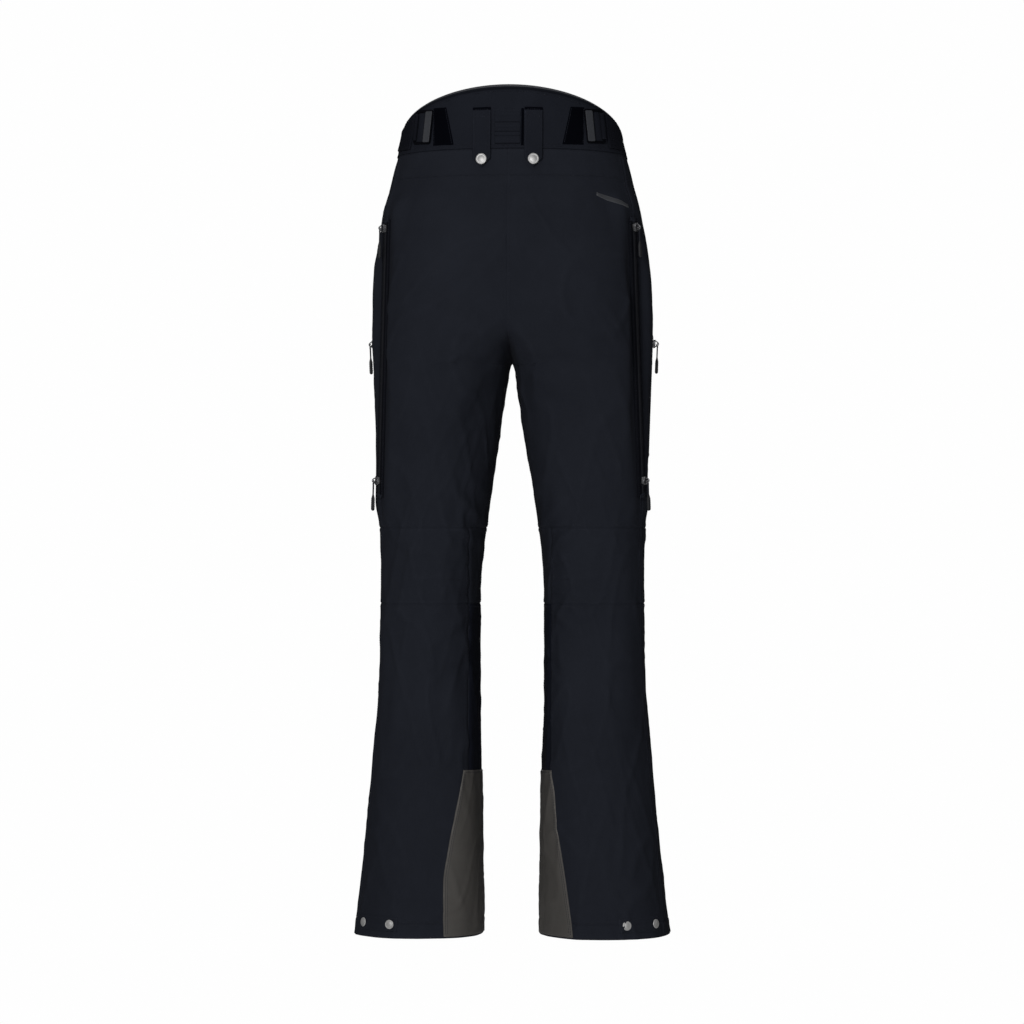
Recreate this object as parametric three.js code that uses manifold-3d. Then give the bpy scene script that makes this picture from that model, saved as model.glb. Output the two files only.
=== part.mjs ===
// Hardshell ski pants, built as separate sewn panels, zips, pulls, snaps and straps.
// Millimetres, +Z up. The wearer faces -Y, so the wearer's left leg is at +X.
// Heights are drawn above the hem plane and the whole garment is then lowered,
// so that the origin is the middle of the waist opening.
import * as THREE from "three";
import { mergeVertices } from "three/addons/utils/BufferGeometryUtils.js";
import Module from "manifold-3d";

// ---------------------------------------------------------------- dimensions
const ORIGIN_Z = 1058; // middle of the waist opening above the hem
const CROTCH_Z = 763;
const KNEE_TOP = 545; // seam above the knee panel
const KNEE_LOW = 443; // seam below the knee panel
const YOKE_Z = 1015; // seam under the back yoke
const BACK_BAND_Z = 1046; // lower seam of the waistband at the back
const BACK_TOP_Z = 1132; // top of the raised back waist
const SIDE_TOP_Z = 1072;
const CLOTH = 1.6; // shell cloth with its lining
const BAND_OUT = 1.4; // the waistband stands this proud of the panels
const GAP = 0.25; // half of the gap at a seam between two panels
const TAPE_W = 26, TAPE_T = 1.2, COIL_W = 5, COIL_H = 2.2, TAPE_LIFT = 0.9;
const SLIDER_L = 12, SLIDER_W = 9.6, BRIDGE_H = 10.4;
const PULL_STEM = 18, PULL_GRIP_L = 22, PULL_GRIP_W = 6.5, PULL_GRIP_T = 4.2;
const RING_W = 30, RING_H = 46, RING_T = 2.4, RING_BAR = 13.5, RING_WIRE = 3.2;
const TAB_X = 34, TAB_W = 24, TAB_TOP = 1101, TAB_LOW = 1021, TAB_T = 1.2;
const SNAP_R = 7.2, HEM_SNAP_R = 6, SNAP_H = 2.4;
const GUARD_TOP = 222, CUFF_TOP = 208, CUFF_LOW = 46;
const POWER = 2.2; // exponent of the superellipse sections

// half width, inner edge of the leg, front and back depth against height
const OUTER = [[0, 212.6], [35, 208.6], [69, 205], [103, 201], [136, 197.8], [170, 194.4], [204, 191], [238, 188.3], [271, 185], [305, 181.8], [339, 180], [373, 178.6], [440, 178.2], [508, 178.2], [541, 179.4], [575, 180.6], [609, 181], [643, 182.3], [677, 183.6], [711, 184.8], [744, 186.5], [785, 188.3], [825, 188.4], [866, 187.6], [906, 183.8], [947, 176.9], [987, 168], [1028, 158.6], [1050, 152.2], [1075, 146.8], [1100, 144.8], [1140, 143.6]];
const INNER = [[0, 38.5], [35, 38.5], [103, 39.8], [170, 40.6], [237, 41.9], [305, 43.2], [373, 43.9], [440, 43.9], [474, 43.2], [508, 40.5], [541, 36.5], [575, 31.7], [609, 27], [643, 21.6], [677, 16.2], [711, 10.8], [744, 5], [757, 2], [763, 0]];
const JOINED = [[763, -1], [766, -0.975], [775, -0.9], [793, -0.75], [823, -0.5], [863, -0.25], [903, -0.08], [933, 0], [1140, 0]];
const FRONT = [[0, -88], [100, -82], [200, -77], [300, -76], [400, -80], [443, -84], [494, -88], [545, -90], [600, -93], [700, -104], [763, -113], [800, -118], [850, -122], [900, -121], [950, -117], [1000, -111], [1046, -107], [1075, -106], [1140, -106]];
const BACK = [[0, 98], [100, 93], [200, 88], [300, 84], [400, 76], [443, 72], [494, 68], [545, 70], [600, 78], [700, 98], [763, 112], [800, 124], [850, 133], [900, 134], [950, 128], [1000, 117], [1046, 107], [1075, 103], [1140, 100]];

// ---------------------------------------------------------------- the cut of the cloth
function curve(table) {
  const n = table.length, h = [], d = [], m = new Array(n);
  for (let i = 0; i < n - 1; i++) { h[i] = table[i + 1][0] - table[i][0]; d[i] = (table[i + 1][1] - table[i][1]) / h[i]; }
  m[0] = d[0]; m[n - 1] = d[n - 2];
  for (let i = 1; i < n - 1; i++) {
    if (d[i - 1] * d[i] <= 0) m[i] = 0;
    else { const a = 2 * h[i] + h[i - 1], b = h[i] + 2 * h[i - 1]; m[i] = (a + b) / (a / d[i - 1] + b / d[i]); }
  }
  return (z) => {
    if (z <= table[0][0]) return table[0][1];
    if (z >= table[n - 1][0]) return table[n - 1][1];
    let i = 0; while (z > table[i + 1][0]) i++;
    const t = (z - table[i][0]) / h[i], t2 = t * t, t3 = t2 * t;
    return (2 * t3 - 3 * t2 + 1) * table[i][1] + (t3 - 2 * t2 + t) * h[i] * m[i] + (-2 * t3 + 3 * t2) * table[i + 1][1] + (t3 - t2) * h[i] * m[i + 1];
  };
}
const outer = curve(OUTER), inner = curve(INNER), joined = curve(JOINED), front = curve(FRONT), back = curve(BACK);
const rad = (deg) => (deg * Math.PI) / 180;
const clamp = (v, a, b) => Math.min(b, Math.max(a, v));
const smooth = (t) => { t = clamp(t, 0, 1); return t * t * (3 - 2 * t); };

function section(z) {
  const xo = outer(z), yf = front(z), yb = back(z), cy = (yf + yb) / 2, b = (yb - yf) / 2;
  if (z <= CROTCH_Z) { const xi = inner(z); return { cx: (xo + xi) / 2, a: (xo - xi) / 2, cy, b, end: Math.PI }; }
  const u = joined(z), a = xo / (1 - u), v = Math.pow(1 - Math.pow(Math.abs(u), POWER), 1 / POWER);
  return { cx: -u * a, a, cy, b, end: Math.atan2(v, u) };
}
// A point of the cloth of the left half. phi is 0 at the side, +90 deg at the back, -90 deg at the front.
function rawPoint(phi, z) {
  const s = section(z), c = Math.cos(phi), d = Math.sin(phi);
  const r = Math.pow(Math.pow(Math.abs(c), POWER) + Math.pow(Math.abs(d), POWER), -1 / POWER);
  let x = s.cx + s.a * c * r, y = s.cy + s.b * d * r;
  if (z > CROTCH_Z && s.cx > 0.5 && x < s.cx) {
    const e = Math.min(26, 0.45 * (z - CROTCH_Z)) * smooth(1 - x / s.cx), xe = Math.sqrt(x * x + e * e);
    const u = clamp((xe - s.cx) / s.a, -1, 1);
    y = s.cy + Math.sign(d) * s.b * Math.pow(1 - Math.pow(Math.abs(u), POWER), 1 / POWER);
  }
  return new THREE.Vector3(x, y, z);
}
function phiAtX(x, z, side) {
  const s = section(z), u = clamp((x - s.cx) / s.a, -1, 1), v = Math.pow(1 - Math.pow(Math.abs(u), POWER), 1 / POWER);
  return Math.atan2(side * v, u);
}
// Zips are stiffer than the cloth and hold it straight along their length.
const ZIPS = {
  vent: { a: [26, 957], b: [29.5, 586] },
  thigh: { a: [-15, 806], b: [-17, 640] },
  hand: { a: [phiAtX(106, 1004, -1) * 180 / Math.PI, 1004], b: [phiAtX(152, 868, -1) * 180 / Math.PI, 868] },
  fly: { a: [-90, 1004], b: [-90, 884] },
};
for (const [name, k] of Object.entries(ZIPS)) {
  const angle = (z) => name === "fly" ? -section(z).end : rad(k.a[0] + (k.b[0] - k.a[0]) * (k.a[1] - z) / (k.a[1] - k.b[1]));
  k.angle = angle;
  k.A = rawPoint(angle(k.a[1]), k.a[1]); k.B = rawPoint(angle(k.b[1]), k.b[1]);
  if (name === "fly") { k.A.x = 0; k.B.x = 0; }
  const n = new THREE.Vector3();
  for (let i = 0; i <= 12; i++) {
    const z = k.b[1] + (k.a[1] - k.b[1]) * i / 12, f = angle(z), h = name === "fly" ? -0.03 : 0.02;
    const p0 = rawPoint(f - h, z), p1 = rawPoint(name === "fly" ? f : f + h, z);
    if (name === "fly") { n.add(new THREE.Vector3(0, -1, 0)); continue; }
    n.add(p1.sub(p0).cross(rawPoint(f, z + 3).sub(rawPoint(f, z - 3))).normalize());
  }
  k.up = k.A.clone().sub(k.B).normalize(); k.length = k.A.distanceTo(k.B);
  k.n = n.addScaledVector(k.up, -n.dot(k.up)).normalize(); k.b3 = k.n.clone().cross(k.up);
  if (name === "vent") { k.A.addScaledVector(k.n, 3); k.B.addScaledVector(k.n, 3); } // half way into the bulge of the hip
}
// The cloth lies flat under each zip and eases back to its own curve beyond it.
const HOLD = { vent: [16, 24, 40], thigh: [16, 22, 36], hand: [18, 28, 24], fly: [20, 30, 30] };
function point(phi, z) {
  const p = rawPoint(phi, z);
  for (const [name, k] of Object.entries(ZIPS)) {
    const r = p.clone().sub(k.A), t = -r.dot(k.up), s = Math.abs(r.dot(k.b3)), h = r.dot(k.n), [flat, ease, ends] = HOLD[name];
    const beyond = Math.max(0, -t, t - k.length) - 4;
    const w = smooth(1 - (s - flat) / ease) * smooth(1 - beyond / ends) * smooth(1 - (Math.abs(h) - 20) / 20);
    if (w > 0) p.addScaledVector(k.n, -h * w);
  }
  return p;
}
function normal(phi, z) {
  const h = 0.004, g = 1.0, e = section(z).end;
  const p0 = point(Math.max(phi - h, -e), z), p1 = point(Math.min(phi + h, e), z);
  const zz = z > CROTCH_Z && z < CROTCH_Z + 4 ? [z, z + g] : z <= CROTCH_Z && z > CROTCH_Z - 2 ? [z - g, z] : [z - g, z + g];
  const q0 = point(phi, zz[0]), q1 = point(phi, zz[1]);
  return p1.sub(p0).cross(q1.sub(q0)).normalize();
}
const at = (phi, z, lift) => point(phi, z).addScaledVector(normal(phi, z), lift);
// The same by distance from the middle, for pieces that cross the middle. side is +1 at the back and -1 at the front.
function atX(x, z, side, lift) {
  const p = at(phiAtX(Math.abs(x), z, side), z, lift);
  if (x < 0) p.x = -p.x;
  return p;
}
function normalX(x, z, side) { const n = normal(phiAtX(Math.abs(x), z, side), z); if (x < 0) n.x = -n.x; return n; }
// top and lower edge of the waistband against the angle round the waist
const bandTop = (phi) => Math.sin(phi) >= 0 ? SIDE_TOP_Z + (BACK_TOP_Z - SIDE_TOP_Z) * Math.pow(Math.sin(phi), 1.15) : SIDE_TOP_Z - 30 * Math.pow(-Math.sin(phi), 1.3);
const bandLow = (phi) => Math.sin(phi) >= 0 ? 1043 + 3 * Math.sin(phi) : 1043 - 31 * Math.pow(-Math.sin(phi), 1.3);
// angle of the side seam, where the vent zip is sewn in
const sideSeam = (z) => rad(z >= 957 ? 26 - 6 * (z - 957) / 86 : z >= 586 ? 26 + 3.5 * (957 - z) / 371 : 29.5 - 6.5 * smooth((586 - z) / 143));

// ---------------------------------------------------------------- solids
const wasm = await Module();
wasm.setup();
function solid(geometry) {
  const g = geometry.clone(); g.deleteAttribute("normal"); g.deleteAttribute("uv");
  const m = mergeVertices(g, 1e-4);
  return new wasm.Manifold(new wasm.Mesh({ numProp: 3, vertProperties: Float32Array.from(m.attributes.position.array), triVerts: Uint32Array.from(m.index.array) }));
}
function geometryOf(made) {
  const m = made.getMesh(), g = new THREE.BufferGeometry(), v = new Float32Array(m.numVert * 3);
  for (let i = 0; i < m.numVert; i++) v.set(m.vertProperties.subarray(i * m.numProp, i * m.numProp + 3), i * 3);
  g.setAttribute("position", new THREE.BufferAttribute(v, 3)); g.setIndex(new THREE.BufferAttribute(Uint32Array.from(m.triVerts), 1));
  g.computeVertexNormals();
  return g;
}
const joinAll = (list) => geometryOf(list.map(solid).reduce((a, b) => a.add(b)));
const moved = (g, x, y, z, rx = 0, ry = 0, rz = 0) => g.clone().applyMatrix4(new THREE.Matrix4().compose(new THREE.Vector3(x, y, z), new THREE.Quaternion().setFromEuler(new THREE.Euler(rx, ry, rz)), new THREE.Vector3(1, 1, 1)));
function mirrored(g) {
  const m = g.clone().applyMatrix4(new THREE.Matrix4().makeScale(-1, 1, 1)), i = m.index.array;
  for (let k = 0; k < i.length; k += 3) [i[k + 1], i[k + 2]] = [i[k + 2], i[k + 1]];
  m.computeVertexNormals();
  return m;
}
// A closed sheet: out(i, j) and into(i, j) give its two faces on a grid of nu by nv. ring closes it in i.
function sheet(nu, nv, out, into, ring = false) {
  const P = [], T = [], cols = ring ? nu : nu + 1, id = (layer, i, j) => (layer * cols + (i % cols)) * (nv + 1) + j;
  for (const f of [out, into]) for (let i = 0; i < cols; i++) for (let j = 0; j <= nv; j++) { const p = f(i / nu, j / nv); P.push(p.x, p.y, p.z); }
  const quad = (a, b, c, d) => T.push(a, b, c, a, c, d);
  for (let i = 0; i < nu; i++) for (let j = 0; j < nv; j++) {
    quad(id(0, i, j), id(0, i + 1, j), id(0, i + 1, j + 1), id(0, i, j + 1));
    quad(id(1, i, j), id(1, i, j + 1), id(1, i + 1, j + 1), id(1, i + 1, j));
  }
  for (let i = 0; i < nu; i++) {
    quad(id(0, i + 1, 0), id(0, i, 0), id(1, i, 0), id(1, i + 1, 0));
    quad(id(0, i, nv), id(0, i + 1, nv), id(1, i + 1, nv), id(1, i, nv));
  }
  if (!ring) for (let j = 0; j < nv; j++) {
    quad(id(0, 0, j), id(0, 0, j + 1), id(1, 0, j + 1), id(1, 0, j));
    quad(id(0, nu, j + 1), id(0, nu, j), id(1, nu, j), id(1, nu, j + 1));
  }
  const g = new THREE.BufferGeometry();
  g.setAttribute("position", new THREE.BufferAttribute(Float32Array.from(P), 3)); g.setIndex(T);
  if (solid(g).volume() < 0) { for (let k = 0; k < T.length; k += 3) [T[k + 1], T[k + 2]] = [T[k + 2], T[k + 1]]; g.setIndex(T); }
  g.computeVertexNormals();
  return g;
}
// A panel of cloth between two lifts off the cut, with p(u, v) giving [phi, z]
function panel(nu, nv, p, hi = 0, lo = -CLOTH, ring = false) {
  const face = (lift) => (u, v) => { const [phi, z] = p(u, v), q = at(phi, z, lift); if (!ring) q.x = Math.max(q.x, z > CROTCH_Z - 30 ? 0.45 : q.x); return q; };
  return sheet(nu, nv, face(hi), face(lo), ring);
}
function panelX(nu, nv, side, p, hi, lo) {
  const face = (lift) => (u, v) => { const [x, z] = p(u, v); return atX(x, z, side, lift); };
  return sheet(nu, nv, face(hi), face(lo));
}

// ---------------------------------------------------------------- the assembly
const mat = (color, roughness, metalness = 0) => new THREE.MeshStandardMaterial({ color, roughness, metalness });
const M = {
  shell: mat(0x1d1f25, 0.75), lining: mat(0x17181c, 0.85), guard: mat(0x393735, 0.8), trim: mat(0x0b0b0e, 0.6),
  tape: mat(0x101114, 0.55), plastic: mat(0x2b2c31, 0.5), metal: mat(0x8f9296, 0.35, 0.8), slider: mat(0x3a3b3f, 0.4, 0.7), pull: mat(0x161718, 0.6),
};
const ski_pants = new THREE.Group();
const garment = new THREE.Group();
garment.position.z = -ORIGIN_Z;
ski_pants.add(garment);
function put(name, geometry, material, frame = null) {
  const mesh = new THREE.Mesh(geometry, material);
  mesh.name = name;
  if (frame) { mesh.position.copy(frame.o); mesh.quaternion.setFromRotationMatrix(new THREE.Matrix4().makeBasis(frame.b, frame.n, frame.up)); }
  garment.add(mesh);
  return mesh;
}
const frames = {};
const mirrorV = (v) => new THREE.Vector3(-v.x, v.y, v.z);
// A frame on the cloth: o a point, up along the piece, n outward, b across it
function frameOn(A, B, n0) {
  const up = A.clone().sub(B).normalize(), n = n0.clone().addScaledVector(up, -n0.dot(up)).normalize();
  return { o: A.clone(), up, n, b: n.clone().cross(up), length: A.distanceTo(B) };
}
const mirrorFrame = (f) => { const up = mirrorV(f.up), n = mirrorV(f.n); return { o: mirrorV(f.o), up, n, b: n.clone().cross(up), length: f.length }; };
const along = (f, down) => ({ ...f, o: f.o.clone().addScaledVector(f.up, -down) });

// main panels, made for the left and mirrored for the right
const zUpper = [KNEE_TOP, 590, 640, 690, 735, CROTCH_Z, 767, 777, 795, 823, 863, 903, 945, 985];
const rows = (list, v, n) => { const k = Math.round(v * n); return list[k]; };
// more columns beside the zips, where the cloth is held flat
const backCols = [0, 0.055, 0.14, 0.25, 0.37, 0.5, 0.63, 0.76, 0.88, 1];
const frontCols = [0, 0.055, 0.14, 0.24, 0.33, 0.43, 0.54, 0.66, 0.78, 0.89, 1];
function upperPoint(side) {
  const cols = side > 0 ? backCols : frontCols;
  return (w, v) => {
    const u = cols[Math.round(w * (cols.length - 1))], n = zUpper.length, k = Math.round(v * n);
    let z = k < n ? zUpper[k] : null, phi;
    const at0 = (zz) => { const s = sideSeam(zz) + side * GAP / 100, e = side * (section(zz).end - (zz <= CROTCH_Z ? GAP / 60 : 0)); return s + (e - s) * u; };
    if (z === null) { const f = at0(YOKE_Z); z = (side > 0 ? YOKE_Z : bandLow(f)) - GAP; }
    if (k === 0) z += GAP;
    phi = at0(z);
    return [phi, z];
  };
}
const pieces = {
  back_panel: panel(backCols.length - 1, zUpper.length, upperPoint(1)),
  front_panel: panel(frontCols.length - 1, zUpper.length, upperPoint(-1)),
};
const zLower = [0, 50, 110, 180, 250, 320, 385, KNEE_LOW];
const lowerPoint = (side) => (u, v) => {
  const k = Math.round(v * (zLower.length - 1)), z = zLower[k] - (k === zLower.length - 1 ? GAP : 0);
  const s = sideSeam(z) + side * GAP / 90, e = side * (Math.PI - GAP / 70);
  return [s + (e - s) * u, z];
};
pieces.lower_leg_back = panel(9, zLower.length - 1, lowerPoint(1));
pieces.lower_leg_front = panel(9, zLower.length - 1, lowerPoint(-1));
pieces.knee_panel = panel(18, 3, (u, v) => [u * 2 * Math.PI - Math.PI, KNEE_LOW + GAP + (KNEE_TOP - KNEE_LOW - 2 * GAP) * v], 0, -CLOTH, true);
// grey guard over the inner ankle, wider at the hem
const guardEdge = (z) => rad(115 + 22 * smooth(z / GUARD_TOP));
pieces.scuff_guard = panel(10, 5, (u, v) => {
  const z = 2 + (GUARD_TOP - 2 - 5 * (1 - Math.abs(2 * u - 1))) * v, e = guardEdge(z);
  return [e + (2 * Math.PI - 2 * e) * u, z];
}, 2.2, 1.2, false);
// elastic snow cuff hanging inside the leg
const cuffFace = (lift) => (u, v) => {
  const z = CUFF_TOP + (CUFF_LOW - CUFF_TOP) * v, s = section(z), phi = u * 2 * Math.PI - Math.PI;
  const p = at(phi, z, -CLOTH - 2.4), k = 1 - 0.26 * smooth(v * 1.15);
  const c = new THREE.Vector3(s.cx, s.cy + 2, z), d = p.clone().sub(c); d.z = 0;
  const l = d.length(); return c.add(d.multiplyScalar((l * k + lift) / l));
};
pieces.snow_cuff = sheet(16, 4, cuffFace(0), cuffFace(-1.4), true);
pieces.hand_pocket_bag = panel(7, 5, (u, v) => { const z = 800 + 190 * v; return [rad(-74 + 46 * u), z]; }, -6.0, -7.2);
// hem snap patch with its two caps
function capOn(phi, z, r, lift, h, sides = 12) {
  const p = at(phi, z, lift), n = normal(phi, z), q = new THREE.Quaternion().setFromUnitVectors(new THREE.Vector3(0, 1, 0), n);
  const g = new THREE.CylinderGeometry(r * 0.86, r, h, sides); g.translate(0, h / 2, 0);
  return g.applyMatrix4(new THREE.Matrix4().compose(p, q, new THREE.Vector3(1, 1, 1)));
}
pieces.hem_snap_patch = joinAll([
  panel(8, 1, (u, v) => [rad(31 + 44 * u), 9 + 19 * v], 1.5, 0.5),
  capOn(rad(38), 18.5, HEM_SNAP_R, 1.0, SNAP_H + 0.4), capOn(rad(68), 18.5, HEM_SNAP_R, 1.0, SNAP_H + 0.4),
]);
const look = { back_panel: M.shell, front_panel: M.shell, lower_leg_back: M.shell, lower_leg_front: M.shell, knee_panel: M.shell, scuff_guard: M.guard, snow_cuff: M.lining, hand_pocket_bag: M.lining, hem_snap_patch: M.trim };
for (const [name, g] of Object.entries(pieces)) { put(name + "_left", g, look[name]); put(name + "_right", mirrored(g), look[name]); }

// yoke and waistband
const round = (lo, hi) => (u) => lo + (hi - lo) * u;
const yokeAngle = round(rad(21.9) + 0.006, Math.PI - rad(21.9) - 0.006);
put("back_yoke", panelX2(18, 1, (u, v) => { const f = yokeAngle(u); return [f, v === 0 ? YOKE_Z + GAP : bandLow(f) - GAP]; }), M.shell);
put("waistband_back", panelX2(22, 3, (u, v) => { const f = round(rad(19.8) + 0.006, Math.PI - rad(19.8) - 0.006)(u), lo = bandLow(f) + GAP; return [f, lo + (bandTop(f) - lo) * v]; }, BAND_OUT, -1.8), M.shell);
const bandFront = panelX2(12, 1, (u, v) => { const f = round(rad(19.8) - 0.006, -Math.PI / 2 + 0.005)(u), lo = bandLow(f) + GAP; return [f, lo + 0.2 + (bandTop(f) - lo - 0.2) * v]; }, BAND_OUT, -1.8);
put("waistband_front_left", bandFront, M.shell);
put("waistband_front_right", mirrored(bandFront), M.shell);
// a panel round the pelvis, where one section serves both halves
function panelX2(nu, nv, p, hi = 0, lo = -CLOTH) {
  const face = (lift) => (u, v) => {
    const [f, z] = p(u, v), other = Math.cos(f) < 0, g = other ? Math.PI - f : f;
    const q = at(Math.atan2(Math.sin(g), Math.cos(g)), z, lift);
    if (other) q.x = -q.x;
    return q;
  };
  return sheet(nu, nv, face(hi), face(lo));
}
put("fly_backing_flap", panelX(6, 4, -1, (u, v) => [-22 + 44 * u, 890 + 118 * v], -2.6, -3.8), M.lining);
const LIFT = BAND_OUT + 0.5;
put("hang_loop_back", panelX(4, 2, 1, (u, v) => [-17 + 34 * u, 1051 + 49 * v], LIFT + 1.0, LIFT), M.shell);
const loopG = panelX(2, 2, -1, (u, v) => [84 + 13 * u, 1019 + 33 * v], LIFT + 1.2, LIFT);
put("belt_loop_front_left", loopG, M.shell);
put("belt_loop_front_right", mirrored(loopG), M.shell);

// suspender tabs: stitched at the top, closed by a snap at the pointed end
function tabShape() {
  const w = TAB_W / 2, l = frames.suspender_tab_left.length, s = new THREE.Shape();
  s.moveTo(-w, 0); s.lineTo(-w, -l + 12); s.lineTo(0, -l); s.lineTo(w, -l + 12); s.lineTo(w, 0); s.closePath();
  return s;
}
{
  const A = atX(TAB_X, TAB_TOP, 1, 0), B = atX(TAB_X, TAB_LOW, 1, 0);
  const f = frameOn(A, B, normalX(TAB_X, 1060, 1));
  frames.suspender_tab_left = f; frames.suspender_tab_right = mirrorFrame(f);
  const slab = new THREE.ExtrudeGeometry(tabShape(), { depth: TAB_T, bevelEnabled: false }); // in x, y; thickness along z
  const strip = moved(slab, 0, LIFT + TAB_T + 0.9, 0, Math.PI / 2); // y becomes z (up), thickness along -y
  const cap = moved(new THREE.CylinderGeometry(SNAP_R * 0.86, SNAP_R, SNAP_H, 14), 0, LIFT + TAB_T + 0.5 + SNAP_H / 2, -f.length + 10.8);
  const g = joinAll([strip, cap]);
  put("suspender_tab_left", g, M.shell, frames.suspender_tab_left);
  put("suspender_tab_right", g, M.shell, frames.suspender_tab_right);
}
// waist adjusters: an anchor of dark webbing, a flat ring, and a hook-and-loop strap through it
{
  const zc = 1078, xc = 111.5;
  const phi0 = phiAtX(xc, zc, 1), f = frameOn(point(phi0, zc + RING_H / 2), point(phi0, zc - RING_H / 2), normal(phi0, zc));
  const up = f.up; f.o = point(phi0, zc);
  frames.adjuster_ring_left = f; frames.adjuster_ring_right = mirrorFrame(f);
  const w = RING_W / 2, h = RING_H / 2;
  const ring = (flip) => {
    const s = new THREE.Shape(); s.moveTo(-w, -h); s.lineTo(w, -h); s.lineTo(w, h); s.lineTo(-w, h); s.closePath();
    const x0 = -w + RING_BAR, x1 = w - RING_WIRE, y = h - RING_WIRE, a = flip ? [-x1, -x0] : [x0, x1];
    const hole = new THREE.Path(); hole.moveTo(a[0], -y); hole.lineTo(a[0], y); hole.lineTo(a[1], y); hole.lineTo(a[1], -y); hole.closePath();
    s.holes.push(hole);
    return moved(new THREE.ExtrudeGeometry(s, { depth: RING_T, bevelEnabled: false }), 0, LIFT + 1.4 + RING_T, 0, Math.PI / 2);
  };
  put("adjuster_ring_left", ring(false), M.plastic, f);
  put("adjuster_ring_right", ring(true), M.plastic, frames.adjuster_ring_right);
  const anchor = panelX(3, 3, 1, (u, v) => [98.0 - (26.5 - 10.5 * v) * u, 1052 + 51 * v], LIFT + 1.2, LIFT);
  put("adjuster_anchor_left", anchor, M.trim); put("adjuster_anchor_right", mirrored(anchor), M.trim);
  const p0 = phiAtX(126, 1078, 1), p1 = rad(13.5);
  const strap = panel(7, 2, (u, v) => { const phi = p0 + (p1 - p0) * u, top = Math.min(bandTop(phi) - 6, 1099), lo = 1049.5; return [phi, lo + (top - lo) * v]; }, LIFT + 2.4, LIFT + 0.9);
  put("adjuster_strap_left", strap, M.trim); put("adjuster_strap_right", mirrored(strap), M.trim);
  frames.adjuster_strap_left = frameOn(at(p0, 1098, LIFT + 2.4), at(p0, 1058, LIFT + 2.4), normal(p0, 1078));
  frames.adjuster_strap_left.o = at(p0, 1078, LIFT + 2.6);
  frames.adjuster_strap_right = mirrorFrame(frames.adjuster_strap_left);
}
// front closure tab with two snap caps
{
  const zc = (x) => (bandLow(-Math.PI / 2) + bandTop(-Math.PI / 2)) / 2;
  const strip = panelX(8, 2, -1, (u, v) => [46 - 90 * u, zc() - 12 + 24 * v], LIFT + 1.3, LIFT);
  const cap = (x) => {
    const p = atX(x, zc(), -1, LIFT + 0.9), n = normalX(x, zc(), -1), q = new THREE.Quaternion().setFromUnitVectors(new THREE.Vector3(0, 1, 0), n);
    const g = new THREE.CylinderGeometry(SNAP_R * 0.86, SNAP_R, SNAP_H, 14); g.translate(0, SNAP_H / 2, 0);
    return g.applyMatrix4(new THREE.Matrix4().compose(p, q, new THREE.Vector3(1, 1, 1)));
  };
  put("waist_closure_tab", joinAll([strip, cap(-34), cap(-10)]), M.shell);
  frames.waist_closure_tab = { o: atX(46, zc(), -1, LIFT + 1.3), up: new THREE.Vector3(0, 0, 1), n: new THREE.Vector3(0, -1, 0) };
  frames.closure_caps = [-34, -10].map((x) => ({ o: atX(x, zc(), -1, LIFT + 0.9 + SNAP_H), n: normalX(x, zc(), -1) }));
}
// zips: tape with its coil, and sliders with a hinged cord pull
const tee = (() => {
  const w = TAPE_W / 2, c = COIL_W / 2, t0 = TAPE_LIFT, t1 = t0 + TAPE_T, t2 = t1 + COIL_H, s = new THREE.Shape();
  [[-w, t0], [w, t0], [w, t1], [c, t1], [c, t2], [-c, t2], [-c, t1], [-w, t1]].forEach((p, i) => (i ? s.lineTo(...p) : s.moveTo(...p)));
  s.closePath();
  return s;
})();
const TAPE_TOP = TAPE_LIFT + TAPE_T, COIL_TOP = TAPE_TOP + COIL_H;
// local frame of a track: x across, y outward, z up the zip from its top end
const trackG = (length) => moved(new THREE.ExtrudeGeometry(tee, { depth: length, bevelEnabled: false }), 0, 0, -length);
const sliderG = (() => {
  const w = SLIDER_W / 2, lo = TAPE_TOP + 0.5, hi = COIL_TOP + 2.6, c = COIL_W / 2 + 0.5, r = COIL_TOP + 0.6, s = new THREE.Shape();
  [[-w, lo], [-c, lo], [-c, r], [c, r], [c, lo], [w, lo], [w, hi], [-w, hi]].forEach((p, i) => (i ? s.lineTo(...p) : s.moveTo(...p)));
  s.closePath();
  const body = moved(new THREE.ExtrudeGeometry(s, { depth: SLIDER_L, bevelEnabled: false }), 0, 0, -SLIDER_L / 2);
  const post = (x) => moved(new THREE.BoxGeometry(1.3, BRIDGE_H + 1.1 - hi + 0.5, 3.2), x, (BRIDGE_H + 1.1 + hi - 0.5) / 2, 0);
  const bar = moved(new THREE.CylinderGeometry(0.85, 0.85, 6.4, 8), 0, BRIDGE_H, 0, 0, 0, Math.PI / 2);
  return joinAll([body, post(-2.75), post(2.75), bar]);
})();
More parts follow.
